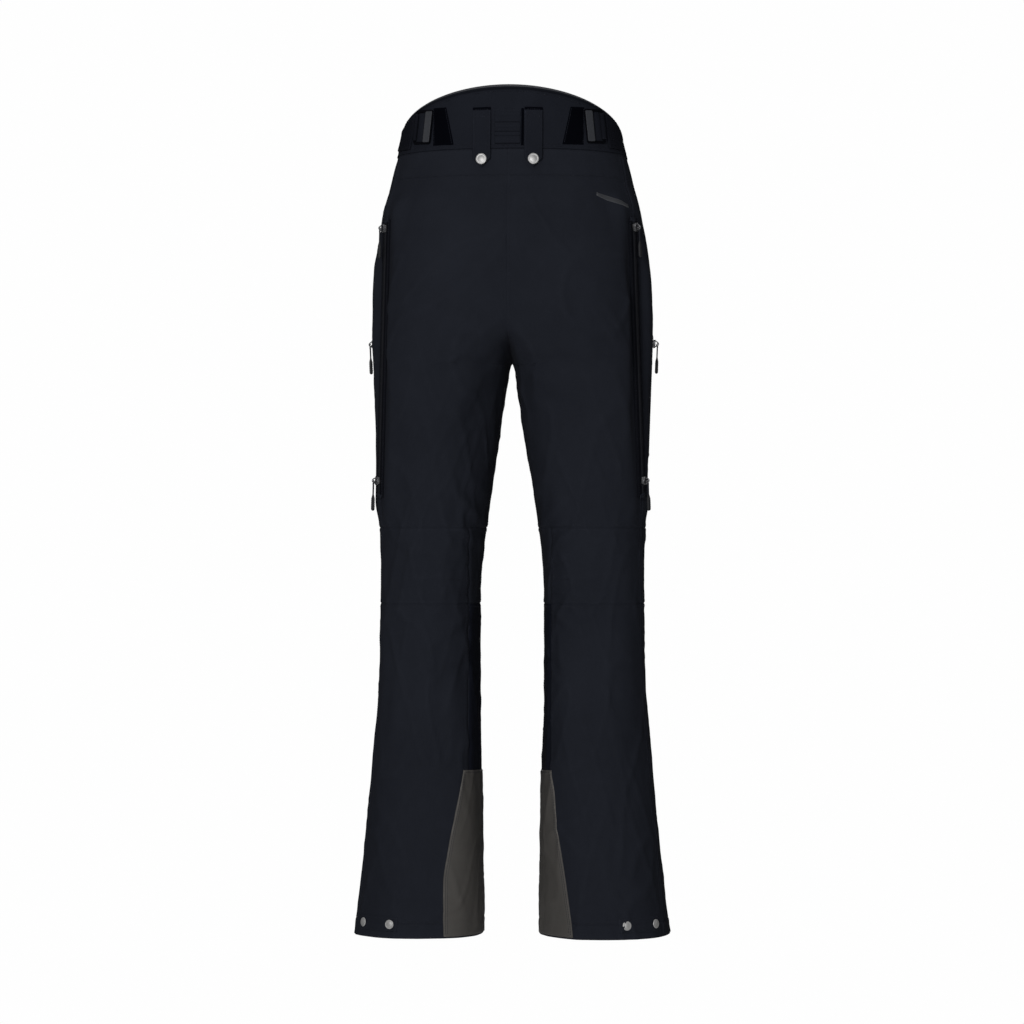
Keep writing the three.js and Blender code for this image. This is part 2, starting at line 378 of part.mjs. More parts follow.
// the pull hangs from the bar, along -z, with its hinge axis at y = BRIDGE_H
const pullG = (() => {
  const ring = new THREE.Shape(); ring.absarc(0, 0, 2.7, 0, Math.PI * 2, false);
  const hole = new THREE.Path(); hole.absarc(0, 0, 1.35, 0, Math.PI * 2, true); ring.holes.push(hole);
  const eye = moved(new THREE.ExtrudeGeometry(ring, { depth: 2.4, bevelEnabled: false, curveSegments: 6 }), -1.2, 0, 0, 0, Math.PI / 2, 0);
  const stem = moved(new THREE.BoxGeometry(2.2, 1.8, PULL_STEM + 2), 0, 0, -2.0 - (PULL_STEM + 2) / 2);
  const g = PULL_GRIP_W / 2, l = PULL_GRIP_L, grip = new THREE.Shape();
  [[-1.2, 0], [-g, -6], [-g, -l + 2.5], [-g + 2, -l], [g - 2, -l], [g, -l + 2.5], [g, -6], [1.2, 0]].forEach((p, i) => (i ? grip.lineTo(...p) : grip.moveTo(...p)));
  grip.closePath();
  const gripG = moved(new THREE.ExtrudeGeometry(grip, { depth: PULL_GRIP_T, bevelEnabled: false }), 0, PULL_GRIP_T / 2, -2 - PULL_STEM + 1.5, Math.PI / 2);
  return moved(joinAll([eye, stem, gripG]), 0, BRIDGE_H, 0);
})();
const zipFrame = (k) => frameOn(k.A, k.B, k.n);
const zipFrames = Object.fromEntries(Object.entries(ZIPS).map(([name, k]) => [name, zipFrame(k)]));
function addZip(name, f, side, sliders) {
  put(name + side, trackG(f.length), M.tape, f);
  for (const [piece, down] of sliders) {
    const g = along(f, down);
    frames[piece + "_slider" + side] = g;
    put(piece + "_slider" + side, sliderG, M.slider, g);
    put(piece + "_pull" + side, pullG, M.pull, g);
  }
}
for (const side of ["_left", "_right"]) {
  const pick = (f) => (side === "_left" ? f : mirrorFrame(f));
  addZip("side_vent_zip", pick(zipFrames.vent), side, [["vent_top", 12], ["vent_bottom", zipFrames.vent.length - 22]]);
  addZip("thigh_pocket_zip", pick(zipFrames.thigh), side, [["thigh", 12]]);
  addZip("hand_pocket_zip", pick(zipFrames.hand), side, [["hand", 12]]);
}
addZip("fly_zip", zipFrames.fly, "", [["fly", 10]]);

// places of the hinges, slides and faces, for whoever fits other parts to this one
ski_pants.userData = {
  frames, originZ: ORIGIN_Z, bridge: BRIDGE_H, lift: LIFT, tabT: TAB_T, ringT: RING_T, ringW: RING_W,
  zipLengths: Object.fromEntries(Object.entries(zipFrames).map(([n, f]) => [n, f.length])), knee: [KNEE_LOW, KNEE_TOP],
};
export default ski_pants;
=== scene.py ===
import math

import bmesh
import bpy
import numpy as np
from mathutils import Matrix, Vector


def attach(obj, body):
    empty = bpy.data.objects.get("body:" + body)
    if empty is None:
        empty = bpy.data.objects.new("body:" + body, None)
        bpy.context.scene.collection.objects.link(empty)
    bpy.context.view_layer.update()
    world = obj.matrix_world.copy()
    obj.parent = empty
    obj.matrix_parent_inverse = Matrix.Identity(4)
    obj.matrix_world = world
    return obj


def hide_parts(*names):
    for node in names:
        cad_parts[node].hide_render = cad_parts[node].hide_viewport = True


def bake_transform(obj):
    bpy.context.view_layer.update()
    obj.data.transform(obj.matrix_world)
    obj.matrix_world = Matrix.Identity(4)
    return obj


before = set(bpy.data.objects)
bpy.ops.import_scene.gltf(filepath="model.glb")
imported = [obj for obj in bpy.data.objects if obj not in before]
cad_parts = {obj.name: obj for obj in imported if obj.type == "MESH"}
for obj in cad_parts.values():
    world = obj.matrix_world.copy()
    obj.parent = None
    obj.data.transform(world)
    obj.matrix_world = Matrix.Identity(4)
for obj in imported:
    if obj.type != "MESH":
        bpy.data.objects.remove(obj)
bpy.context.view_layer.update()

SC = bpy.context.scene
NODES = set(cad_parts)

# ------------------------------------------------------------------ dimensions, mm above the hem
Z0 = 1058.0
CROTCH, KNEE_TOP, KNEE_LOW, YOKE = 763.0, 545.0, 443.0, 1015.0
BACK_TOP, SIDE_TOP = 1132.0, 1072.0
BAND_OUT = 1.4
TAPE_W, TAPE_T, COIL_W, COIL_H, TAPE_LIFT = 26.0, 1.2, 5.0, 2.2, 0.9
BRIDGE = 10.4
RING_W, RING_H, RING_T, RING_BAR, RING_WIRE = 30.0, 46.0, 2.4, 13.5, 3.2
TAB_X, TAB_W, TAB_TOP, TAB_LOW, TAB_T = 34.0, 24.0, 1101.0, 1021.0, 1.2
LIFT = BAND_OUT + 0.5
GUARD_TOP, CUFF_TOP, CUFF_LOW = 222.0, 208.0, 46.0
POWER = 2.2

OUTER = [[0, 212.6], [35, 208.6], [69, 205], [103, 201], [136, 197.8], [170, 194.4], [204, 191], [238, 188.3], [271, 185], [305, 181.8], [339, 180], [373, 178.6], [440, 178.2], [508, 178.2], [541, 179.4], [575, 180.6], [609, 181], [643, 182.3], [677, 183.6], [711, 184.8], [744, 186.5], [785, 188.3], [825, 188.4], [866, 187.6], [906, 183.8], [947, 176.9], [987, 168], [1028, 158.6], [1050, 152.2], [1075, 146.8], [1100, 144.8], [1140, 143.6]]
INNER = [[0, 38.5], [35, 38.5], [103, 39.8], [170, 40.6], [237, 41.9], [305, 43.2], [373, 43.9], [440, 43.9], [474, 43.2], [508, 40.5], [541, 36.5], [575, 31.7], [609, 27], [643, 21.6], [677, 16.2], [711, 10.8], [744, 5], [757, 2], [763, 0]]
JOINED = [[763, -1], [766, -0.975], [775, -0.9], [793, -0.75], [823, -0.5], [863, -0.25], [903, -0.08], [933, 0], [1140, 0]]
FRONT = [[0, -88], [100, -82], [200, -77], [300, -76], [400, -80], [443, -84], [494, -88], [545, -90], [600, -93], [700, -104], [763, -113], [800, -118], [850, -122], [900, -121], [950, -117], [1000, -111], [1046, -107], [1075, -106], [1140, -106]]
BACK = [[0, 98], [100, 93], [200, 88], [300, 84], [400, 76], [443, 72], [494, 68], [545, 70], [600, 78], [700, 98], [763, 112], [800, 124], [850, 133], [900, 134], [950, 128], [1000, 117], [1046, 107], [1075, 103], [1140, 100]]


# ------------------------------------------------------------------ the cut of the cloth
def curve(table):
    t = np.array(table, float)
    X, Y = t[:, 0], t[:, 1]
    h, d = np.diff(X), np.diff(Y) / np.diff(X)
    m = np.zeros(len(X))
    m[0], m[-1] = d[0], d[-1]
    for i in range(1, len(X) - 1):
        if d[i - 1] * d[i] > 0:
            a, b = 2 * h[i] + h[i - 1], h[i] + 2 * h[i - 1]
            m[i] = (a + b) / (a / d[i - 1] + b / d[i])

    def f(z):
        z = np.clip(np.asarray(z, float), X[0], X[-1])
        i = np.clip(np.searchsorted(X, z) - 1, 0, len(h) - 1)
        s = (z - X[i]) / h[i]
        s2, s3 = s * s, s * s * s
        return (2 * s3 - 3 * s2 + 1) * Y[i] + (s3 - 2 * s2 + s) * h[i] * m[i] + (-2 * s3 + 3 * s2) * Y[i + 1] + (s3 - s2) * h[i] * m[i + 1]

    return f


outer, inner, joined, front, back = map(curve, (OUTER, INNER, JOINED, FRONT, BACK))


def smooth(t):
    t = np.clip(t, 0, 1)
    return t * t * (3 - 2 * t)


def section(z):
    z = np.asarray(z, float)
    xo, yf, yb = outer(z), front(z), back(z)
    cy, b = (yf + yb) / 2, (yb - yf) / 2
    xi = inner(z)
    u = joined(z)
    v = (1 - np.abs(u) ** POWER).clip(0) ** (1 / POWER)
    low = z <= CROTCH
    a = np.where(low, (xo - xi) / 2, xo / (1 - u))
    cx = np.where(low, (xo + xi) / 2, -u * a)
    end = np.where(low, math.pi, np.arctan2(v, u))
    return cx, a, cy, b, end


def raw(phi, z):
    phi, z = np.broadcast_arrays(np.asarray(phi, float), np.asarray(z, float))
    cx, a, cy, b, _ = section(z)
    c, d = np.cos(phi), np.sin(phi)
    r = (np.abs(c) ** POWER + np.abs(d) ** POWER) ** (-1 / POWER)
    x, y = cx + a * c * r, cy + b * d * r
    e = np.minimum(26, 0.45 * (z - CROTCH)).clip(0) * smooth(1 - x / np.where(cx > 0.5, cx, 1))
    u = np.clip((np.sqrt(x * x + e * e) - cx) / a, -1, 1)
    y2 = cy + np.sign(d) * b * (1 - np.abs(u) ** POWER).clip(0) ** (1 / POWER)
    y = np.where((z > CROTCH) & (cx > 0.5) & (x < cx), y2, y)
    return np.stack([x, y, z], -1)


def phi_at_x(x, z, side):
    cx, a, cy, b, _ = section(z)
    u = np.clip((np.asarray(x, float) - cx) / a, -1, 1)
    return np.arctan2(side * (1 - np.abs(u) ** POWER).clip(0) ** (1 / POWER), u)


R = math.radians
ZIPS = {
    "vent": [(26.0, 957.0), (29.5, 586.0)],
    "thigh": [(-15.0, 806.0), (-17.0, 640.0)],
    "hand": [(math.degrees(phi_at_x(106, 1004, -1)), 1004.0), (math.degrees(phi_at_x(152, 868, -1)), 868.0)],
    "fly": [(-90.0, 1004.0), (-90.0, 884.0)],
}


def unit(v):
    return v / np.linalg.norm(v, axis=-1, keepdims=True)


ZL = {}
for name, (ka, kb) in ZIPS.items():
    def angle(z, name=name, ka=ka, kb=kb):
        return -float(section(z)[4]) if name == "fly" else R(ka[0] + (kb[0] - ka[0]) * (ka[1] - z) / (ka[1] - kb[1]))
    A, B = raw(angle(ka[1]), ka[1]), raw(angle(kb[1]), kb[1])
    if name == "fly":
        A[0] = B[0] = 0
    n = np.zeros(3)
    for i in range(13):
        z = kb[1] + (ka[1] - kb[1]) * i / 12
        if name == "fly":
            n += [0, -1, 0]
            continue
        f = angle(z)
        n += unit(np.cross(raw(f + 0.02, z) - raw(f - 0.02, z), raw(f, z + 3) - raw(f, z - 3)))
    up = unit(A - B)
    length = float(np.linalg.norm(A - B))
    n = unit(n - up * (n @ up))
    if name == "vent":
        A, B = A + n * 3, B + n * 3
    ZL[name] = dict(A=A, B=B, up=up, n=n, b=np.cross(n, up), length=length)
HOLD = {"vent": (16, 24, 40), "thigh": (16, 22, 36), "hand": (18, 28, 24), "fly": (20, 30, 30)}


def zip_coords(p, k):
    r = p - k["A"]
    return -(r @ k["up"]), r @ k["b"], r @ k["n"]


def point(phi, z):
    p = raw(phi, z)
    for name, k in ZL.items():
        t, s, h = zip_coords(p, k)
        flat, ease, ends = HOLD[name]
        beyond = np.maximum(0, np.maximum(-t, t - k["length"])) - 4
        w = smooth(1 - (np.abs(s) - flat) / ease) * smooth(1 - beyond / ends) * smooth(1 - (np.abs(h) - 20) / 20)
        p = p - (h * w)[..., None] * k["n"]
    return p


def normal(phi, z):
    phi, z = np.broadcast_arrays(np.asarray(phi, float), np.asarray(z, float))
    h, g = 0.004, 1.0
    end = section(z)[4]
    p0, p1 = point(np.maximum(phi - h, -end), z), point(np.minimum(phi + h, end), z)
    za = np.where((z > CROTCH) & (z < CROTCH + 4), z, z - g)
    zb = np.where((z <= CROTCH) & (z > CROTCH - 2), z, z + g)
    return unit(np.cross(p1 - p0, point(phi, zb) - point(phi, za)))


def side_seam(z):
    z = np.asarray(z, float)
    return np.radians(np.where(z >= 957, 26 - 6 * (z - 957) / 86, np.where(z >= 586, 26 + 3.5 * (957 - z) / 371, 29.5 - 6.5 * smooth((586 - z) / 143))))


def band_top(f):
    s = np.sin(f)
    return np.where(s >= 0, SIDE_TOP + (BACK_TOP - SIDE_TOP) * np.abs(s) ** 1.15, SIDE_TOP - 30 * np.abs(s) ** 1.3)


def band_low(f):
    s = np.sin(f)
    return np.where(s >= 0, 1043 + 3 * s, 1043 - 31 * np.abs(s) ** 1.3)


# ------------------------------------------------------------------ noise, folds, seams
def hash3(i, j, k, seed):
    v = np.sin(i * 127.1 + j * 311.7 + k * 74.7 + seed * 53.3) * 43758.5453
    return (v - np.floor(v)) * 2 - 1


def noise(x, y, z, seed=0):
    x, y, z = np.broadcast_arrays(x, y, z)
    i, j, k = np.floor(x), np.floor(y), np.floor(z)
    fx, fy, fz = smooth(x - i), smooth(y - j), smooth(z - k)
    out = 0
    for a in (0, 1):
        for b in (0, 1):
            for c in (0, 1):
                w = (fx if a else 1 - fx) * (fy if b else 1 - fy) * (fz if c else 1 - fz)
                out = out + w * hash3(i + a, j + b, k + c, seed)
    return out


def groove(d, depth=0.75, swell=0.45):
    return -depth * np.exp(-((d / 1.0) ** 2)) + swell * np.exp(-(((np.abs(d) - 3.4) / 2.2) ** 2))


def inner_seam_x(z):
    return 55.0 + 0 * np.asarray(z, float)


# (height, slope across the back of the knee, strength, half height) of the folds behind the knee
KNEE_FOLDS = [(530, 0.05, 1.1, 6), (512, -0.10, 1.7, 7), (494, 0.08, 1.3, 5.5), (477, -0.05, 1.9, 7), (459, 0.09, 1.2, 5.5), (430, -0.12, 0.9, 8)]


def drape(phi, z, side):
    """How far the cloth stands off its cut, in mm: folds, seams and small crumples."""
    phi, z = np.broadcast_arrays(np.asarray(phi, float), np.asarray(z, float))
    p = raw(phi, z)
    x, y = p[..., 0], p[..., 1]
    q = 11.0 if side > 0 else 47.0
    cz, sz = np.cos(phi), np.sin(phi)
    arc = np.abs(phi) * 90
    # long soft folds down the leg, broad and shallow
    w = 2.3 * noise(cz * 1.7 + q, sz * 1.7, z / 300, 1) + 1.9 * noise(cz * 3.1 + q, sz * 3.1, z / 170, 2)
    # slanting folds of the thigh and calf
    for s, amp, lx, lz, sl in ((3, 2.3, 34, 95, 0.35), (4, 1.9, 26, 80, -0.30)):
        f = noise((arc + sl * z) / lx + q, z / lz, np.sign(sz) * 3.0, s)
        w = w + amp * np.maximum(0, 1 - 3.2 * np.abs(f)) ** 1.6 * smooth((1 + noise(z / 120 + q, phi * 1.1, 0, s + 5)) / 1.1)
    # folds that spread from the crotch
    dx, dz = np.maximum(x, 0), z - 770
    rr, th = np.hypot(dx, dz), np.arctan2(dz, dx + 4)
    env = np.exp(-(((rr - 62) / 46) ** 2)) * np.abs(sz) ** 2 * smooth((40 - dz) / 60)
    w = w + 1.9 * env * np.cos(8.5 * th + 4.6 + 0.6 * side + 1.1 * noise(x / 40 + q, z / 40, 0, 12))
    # slanting tucks above and beside the knee, on the inner half of the back of the leg
    for n, (zc, xc, sl, amp, wd) in enumerate(((566, 50, 0.95, 2.6, 7), (538, 62, 0.7, 1.9, 6), (600, 44, 1.1, 1.8, 8), (420, 66, -0.8, 1.6, 7), (384, 60, -1.0, 1.3, 8))):
        off = 0 if side > 0 else (-9, 7, 5, 8, -6)[n]
        d = (z - zc - off - sl * (x - xc) - 3 * noise(x / 16 + q, n * 2.3, 0, 24)) / math.hypot(1, sl)
        w = w + amp * (sz > 0) * smooth(sz * 4) * np.exp(-(((x - xc) / 26) ** 2)) * (np.exp(-((d / wd) ** 2)) - 0.7 * np.exp(-(((d + 1.6 * wd) / wd) ** 2)))
    # folds behind the knee, and fewer in front of it
    kb = np.exp(-(((np.abs(phi) - R(95)) / R(48)) ** 2)) * (phi > 0)
    kf = np.exp(-(((np.abs(phi) - R(120)) / R(34)) ** 2)) * (phi < 0) * 0.6
    a = (phi - R(90)) * 85 * np.sign(phi)
    for n, (z0, sl, amp, hw) in enumerate(KNEE_FOLDS):
        zc = z0 + sl * a + 5 * noise(phi * 1.6 + q, n * 3.7, 0, 20)
        w = w + amp * (kb + kf) * (np.exp(-(((z - zc) / hw) ** 2)) - 0.55 * np.exp(-(((z - zc + 1.5 * hw) / hw) ** 2))) * (0.65 + 0.6 * noise(phi * 2.4 + q, n * 5.1, 2, 21))
    # flutes of the flared hem
    w = w + 1.3 * smooth(1 - z / 190) * noise(cz * 2.6 + q, sz * 2.6, z / 400, 30)
    # small crumples
    w = w + 0.30 * noise(x / 13 + q, y / 13, z / 17, 31) + 0.14 * noise(x / 5.5 + q, y / 5.5, z / 7, 32)
    # the side seam and the inseam hold the cloth out straight
    w = w * (1 - 0.62 * np.exp(-(((phi - 0.14) / 0.42) ** 2)) * smooth((940 - z) / 60))
    w = w * (1 - 0.55 * np.exp(-(((math.pi - np.abs(phi)) / 0.36) ** 2)) * smooth((745 - z) / 60))
    # both halves agree along the middle
    w = w * (1 - (1 - smooth(x / 14)) * smooth((z - 700) / 63))
    # the waist is pulled smooth, and the zips hold the cloth flat
    w = w * (1 - 0.9 * smooth((z - 960) / 50))
    w = w + (sz > 0.5) * np.exp(-((x / 78) ** 2)) * sum(a * np.exp(-(((z - zc - 5 * noise(x / 30 + q * 0, zc, 0, 26)) / 4.0) ** 2)) for zc, a in ((1002, 0.8), (989, -0.9), (976, 0.9), (958, -0.7), (935, 0.6)))
    for name, k in ZL.items():
        t, s, h = zip_coords(p, k)
        beyond = np.maximum(0, np.maximum(-t, t - k["length"]))
        w = w * (1 - smooth(1 - (np.abs(s) - 15) / 24) * smooth(1 - beyond / 30) * (np.abs(h) < 40))
    # a shallow hollow above the fork, and slack cloth falling away from the inseam
    w = w - 2.6 * np.exp(-((x / 15) ** 2)) * smooth((z - 770) / 20) * smooth((890 - z) / 90) * smooth(np.abs(sz) * 3)
    w = w - 1.9 * smooth((z - 640) / 60) * smooth((790 - z) / 30) * smooth((26 - x) / 22)
    # the legs run into the seat in a soft hollow
    dz = np.abs(z - 763)
    w = w + 0.5 * 11 / (x.clip(0) + 2) * smooth((95 - x) / 60) * smooth((x - 3) / 6) * (0.35 + 0.6 * smooth(x / 60)) * (np.sqrt(dz * dz + 14 ** 2) - dz) * smooth(1 - dz / 60)
    # seams, with the pucker that the thread leaves beside them
    r = np.linalg.norm(raw(phi + 0.01, z) - raw(phi - 0.01, z), axis=-1) / 0.02
    pk = 0.34
    seams = []
    ds = (phi - side_seam(z)) * r
    seams.append((ds, (z > 950) | (z < 592), z))
    end = section(z)[4]
    d = (end - np.abs(phi)) * r
    seams.append((np.where(z > CROTCH, x, d), z > 0, z))
    for z0 in (KNEE_TOP, KNEE_LOW):
        seams.append((z - z0, z > 0, np.abs(phi) * r))
    seams.append((z - YOKE, phi > side_seam(z), np.abs(phi) * r))
    seams.append((x - inner_seam_x(z), (z > 214) & (z < KNEE_TOP) & (cz < 0), z))
    for z0 in (494, 470, 453):
        seams.append((z - z0 - 0.15 * (x - 55), (x > 55) & (x < 82) & (cz < 0) & (phi > 0), x))
    for k, (d, on, along) in enumerate(seams):
        near = np.exp(-((d / 9) ** 2))
        w = w + np.where(on, groove(d) * np.where((k == 1) & (z > CROTCH), 0.45, 1.0) + pk * near * noise(along / 7.0 + q, np.abs(d) / 14, 0, 40), 0)
    d = z - 20
    w = w - 0.45 * np.exp(-((d / 1.3) ** 2)) + 0.5 * smooth((20 - z) / 3) + 0.3 * np.exp(-((d / 7) ** 2)) * noise(phi * 14 + q, 0, 0, 41)
    return w


def cloth(phi, z, lift=0.0, side=1):
    """A point of the draped outer face, lifted off it. side is +1 for the left half, -1 for the right."""
    phi, z = np.broadcast_arrays(np.asarray(phi, float), np.asarray(z, float))
    p = point(phi, z) + normal(phi, z) * (drape(phi, z, side) + lift)[..., None]
    # the deep tuck where the four panels meet above the fork
    deep = 30 * np.exp(-(np.abs(p[..., 0]) / 4.6)) * smooth((z - 760) / 9) * smooth((804 - z) / 30)
    p[..., 1] = p[..., 1] - np.sign(p[..., 1]) * np.minimum(deep, 0.7 * np.abs(p[..., 1]))
    return p * np.array([side, 1, 1])


def trunk(f, z, lift=0.0):
    """The same above the legs for any angle round the waist, without folds."""
    f, z = np.broadcast_arrays(np.asarray(f, float), np.asarray(z, float))
    other = np.cos(f) < 0
    g = np.where(other, math.pi - f, f)
    g = np.arctan2(np.sin(g), np.cos(g))
    p = point(g, z) + normal(g, z) * np.asarray(lift)[..., None]
    return p * np.stack([np.where(other, -1.0, 1.0), np.ones_like(f), np.ones_like(f)], -1)


def trunk_x(x, z, side, lift=0.0):
    """side is +1 at the back and -1 at the front."""
    x, z = np.broadcast_arrays(np.asarray(x, float), np.asarray(z, float))
    g = phi_at_x(np.abs(x), z, side)
    p = point(g, z) + normal(g, z) * np.asarray(lift)[..., None]
    return p * np.stack([np.where(x < 0, -1.0, 1.0), np.ones_like(x), np.ones_like(x)], -1)


def m(p):
    """mm above the hem to metres in the row frame."""
    p = np.asarray(p, float)
    return (p - np.array([0, 0, Z0])) / 1000


# ------------------------------------------------------------------ materials
def nodes_of(name):
    mat = bpy.data.materials.new(name)
    mat.use_nodes = True
    nt = mat.node_tree
    nt.nodes.clear()
    out = nt.nodes.new("ShaderNodeOutputMaterial")
    bsdf = nt.nodes.new("ShaderNodeBsdfPrincipled")
    nt.links.new(bsdf.outputs[0], out.inputs[0])
    return mat, nt, bsdf


def add(nt, kind, **props):
    n = nt.nodes.new(kind)
    for k, v in props.items():
        if hasattr(n, k):
            setattr(n, k, v)
        else:
            n.inputs[k].default_value = v
    return n


def math_node(nt, op, a, b=None, clamp=False):
    n = nt.nodes.new("ShaderNodeMath")
    n.operation, n.use_clamp = op, clamp
    for i, v in enumerate((a, b)):
        if v is None:
            continue
        if isinstance(v, (int, float)):
            n.inputs[i].default_value = v
        else:
            nt.links.new(v, n.inputs[i])
    return n.outputs[0]


def ramp(nt, fac, stops):
    n = nt.nodes.new("ShaderNodeValToRGB")
    e = n.color_ramp.elements
    while len(e) < len(stops):
        e.new(0.5)
    for el, (pos, col) in zip(e, stops):
        el.position = pos
        el.color = (*col, 1) if len(col) == 3 else col
    nt.links.new(fac, n.inputs[0])
    return n.outputs[0]


def scaled(nt, src, s):
    n = nt.nodes.new("ShaderNodeVectorMath")
    n.operation = "SCALE"
    nt.links.new(src, n.inputs[0])
    n.inputs["Scale"].default_value = s
    return n.outputs[0]


def fabric(name, dark, light, pitch=0.55, weave=0.5, bump=0.10, rough=(0.78, 0.92), spec=0.03, sheen=0.002, twill=True, mottle=0.0, ribs=0.0):
    """Woven cloth. The UV map holds millimetres, so pitch is the real spacing of its threads."""
    mat, nt, b = nodes_of(name)
    L = nt.links.new
    uv = add(nt, "ShaderNodeUVMap", uv_map="mm").outputs[0]
    co = add(nt, "ShaderNodeTexCoord").outputs["Object"]
    sep = nt.nodes.new("ShaderNodeSeparateXYZ")
    L(uv, sep.inputs[0])
    u, v = sep.outputs[0], sep.outputs[1]
    k = 2 * math.pi / pitch
    if twill:
        d = math_node(nt, "ADD", u, v)
        wa = math_node(nt, "SINE", math_node(nt, "MULTIPLY", d, k * 0.5))
        wb = math_node(nt, "SINE", math_node(nt, "MULTIPLY", v, k))
        h = math_node(nt, "ADD", math_node(nt, "MULTIPLY", wa, 0.7), math_node(nt, "MULTIPLY", wb, 0.3))
    else:
        wa = math_node(nt, "SINE", math_node(nt, "MULTIPLY", u, k))
        wb = math_node(nt, "SINE", math_node(nt, "MULTIPLY", v, k))
        h = math_node(nt, "MULTIPLY", wa, wb)
    if ribs:
        h = math_node(nt, "ADD", h, math_node(nt, "MULTIPLY", math_node(nt, "SINE", math_node(nt, "MULTIPLY", v, 2 * math.pi / ribs)), 1.5))
    slub = add(nt, "ShaderNodeTexNoise", Scale=900.0, Detail=2.0)
    L(co, slub.inputs["Vector"])
    crumple = add(nt, "ShaderNodeTexNoise", Scale=55.0, Detail=5.0, Roughness=0.55)
    L(co, crumple.inputs["Vector"])
    broad = add(nt, "ShaderNodeTexNoise", Scale=9.0, Detail=3.0)
    L(co, broad.inputs["Vector"])
    tone = math_node(nt, "ADD", math_node(nt, "MULTIPLY", broad.outputs[0], 0.55), math_node(nt, "MULTIPLY", crumple.outputs[0], 0.25))
    tone = math_node(nt, "ADD", tone, math_node(nt, "MULTIPLY", slub.outputs[0], 0.12))
    tone = math_node(nt, "ADD", tone, math_node(nt, "MULTIPLY", h, 0.06 * weave))
    # edges and ridges are rubbed a little paler
    geo = nt.nodes.new("ShaderNodeNewGeometry")
    worn = ramp(nt, geo.outputs["Pointiness"], [(0.50, (0, 0, 0)), (0.58, (1, 1, 1))])
    fibre = add(nt, "ShaderNodeTexNoise", Scale=300.0, Detail=3.0)
    L(co, fibre.inputs["Vector"])
    wear = math_node(nt, "MULTIPLY", worn, math_node(nt, "MULTIPLY", fibre.outputs[0], 0.5))
    tone = math_node(nt, "ADD", tone, wear, clamp=True)
    col = ramp(nt, tone, [(0.22, dark), (0.72, light), (1.0, tuple(min(1, c * 2.1) for c in light))])
    L(col, b.inputs["Base Color"])
    rg = nt.nodes.new("ShaderNodeMapRange")
    L(crumple.outputs[0], rg.inputs[0])
    rg.inputs[3].default_value, rg.inputs[4].default_value = rough
    L(rg.outputs[0], b.inputs["Roughness"])
    b.inputs["Specular IOR Level"].default_value = spec
    b.inputs["Sheen Weight"].default_value = sheen
    b.inputs["Sheen Roughness"].default_value = 0.45
    hh = math_node(nt, "ADD", math_node(nt, "MULTIPLY", h, 0.5 * weave), math_node(nt, "MULTIPLY", slub.outputs[0], 0.5))
    b1 = add(nt, "ShaderNodeBump", Strength=0.55, Distance=bump / 1000)
    L(hh, b1.inputs["Height"])
    b2 = add(nt, "ShaderNodeBump", Strength=0.5, Distance=0.0012)
    L(crumple.outputs[0], b2.inputs["Height"])
    L(b1.outputs[0], b2.inputs["Normal"])
    L(b2.outputs[0], b.inputs["Normal"])
    return mat


def plain(name, dark, light, rough=(0.35, 0.55), metal=0.0, spec=0.4, scale=400.0, bump=0.02, brushed=False, coat=0.0):
    """Moulded plastic or metal with a fine grain, worn paler along its edges."""
    mat, nt, b = nodes_of(name)
    L = nt.links.new
    co = add(nt, "ShaderNodeTexCoord").outputs["Object"]
    if brushed:
        mp = add(nt, "ShaderNodeMapping")
        mp.inputs["Scale"].default_value = (1, 1, 12)
        L(co, mp.inputs["Vector"])
        co = mp.outputs[0]
    n = add(nt, "ShaderNodeTexNoise", Scale=scale, Detail=6.0)
    L(co, n.inputs["Vector"])
    n2 = add(nt, "ShaderNodeTexNoise", Scale=scale * 5, Detail=2.0)
    L(co, n2.inputs["Vector"])
    geo = nt.nodes.new("ShaderNodeNewGeometry")
    worn = ramp(nt, geo.outputs["Pointiness"], [(0.52, (0, 0, 0)), (0.62, (1, 1, 1))])
    tone = math_node(nt, "ADD", math_node(nt, "MULTIPLY", n.outputs[0], 0.8), math_node(nt, "MULTIPLY", worn, 0.35), clamp=True)
    L(ramp(nt, tone, [(0.25, dark), (0.75, light), (1.0, tuple(min(1, c * 1.6 + 0.01) for c in light))]), b.inputs["Base Color"])
    rg = nt.nodes.new("ShaderNodeMapRange")
    L(n.outputs[0], rg.inputs[0])
    rg.inputs[3].default_value, rg.inputs[4].default_value = rough
    L(rg.outputs[0], b.inputs["Roughness"])
    b.inputs["Metallic"].default_value = metal
    b.inputs["Specular IOR Level"].default_value = spec
    b.inputs["Coat Weight"].default_value = coat
    bp = add(nt, "ShaderNodeBump", Strength=0.4, Distance=bump / 1000)
    L(n2.outputs[0], bp.inputs["Height"])
    L(bp.outputs[0], b.inputs["Normal"])
    return mat


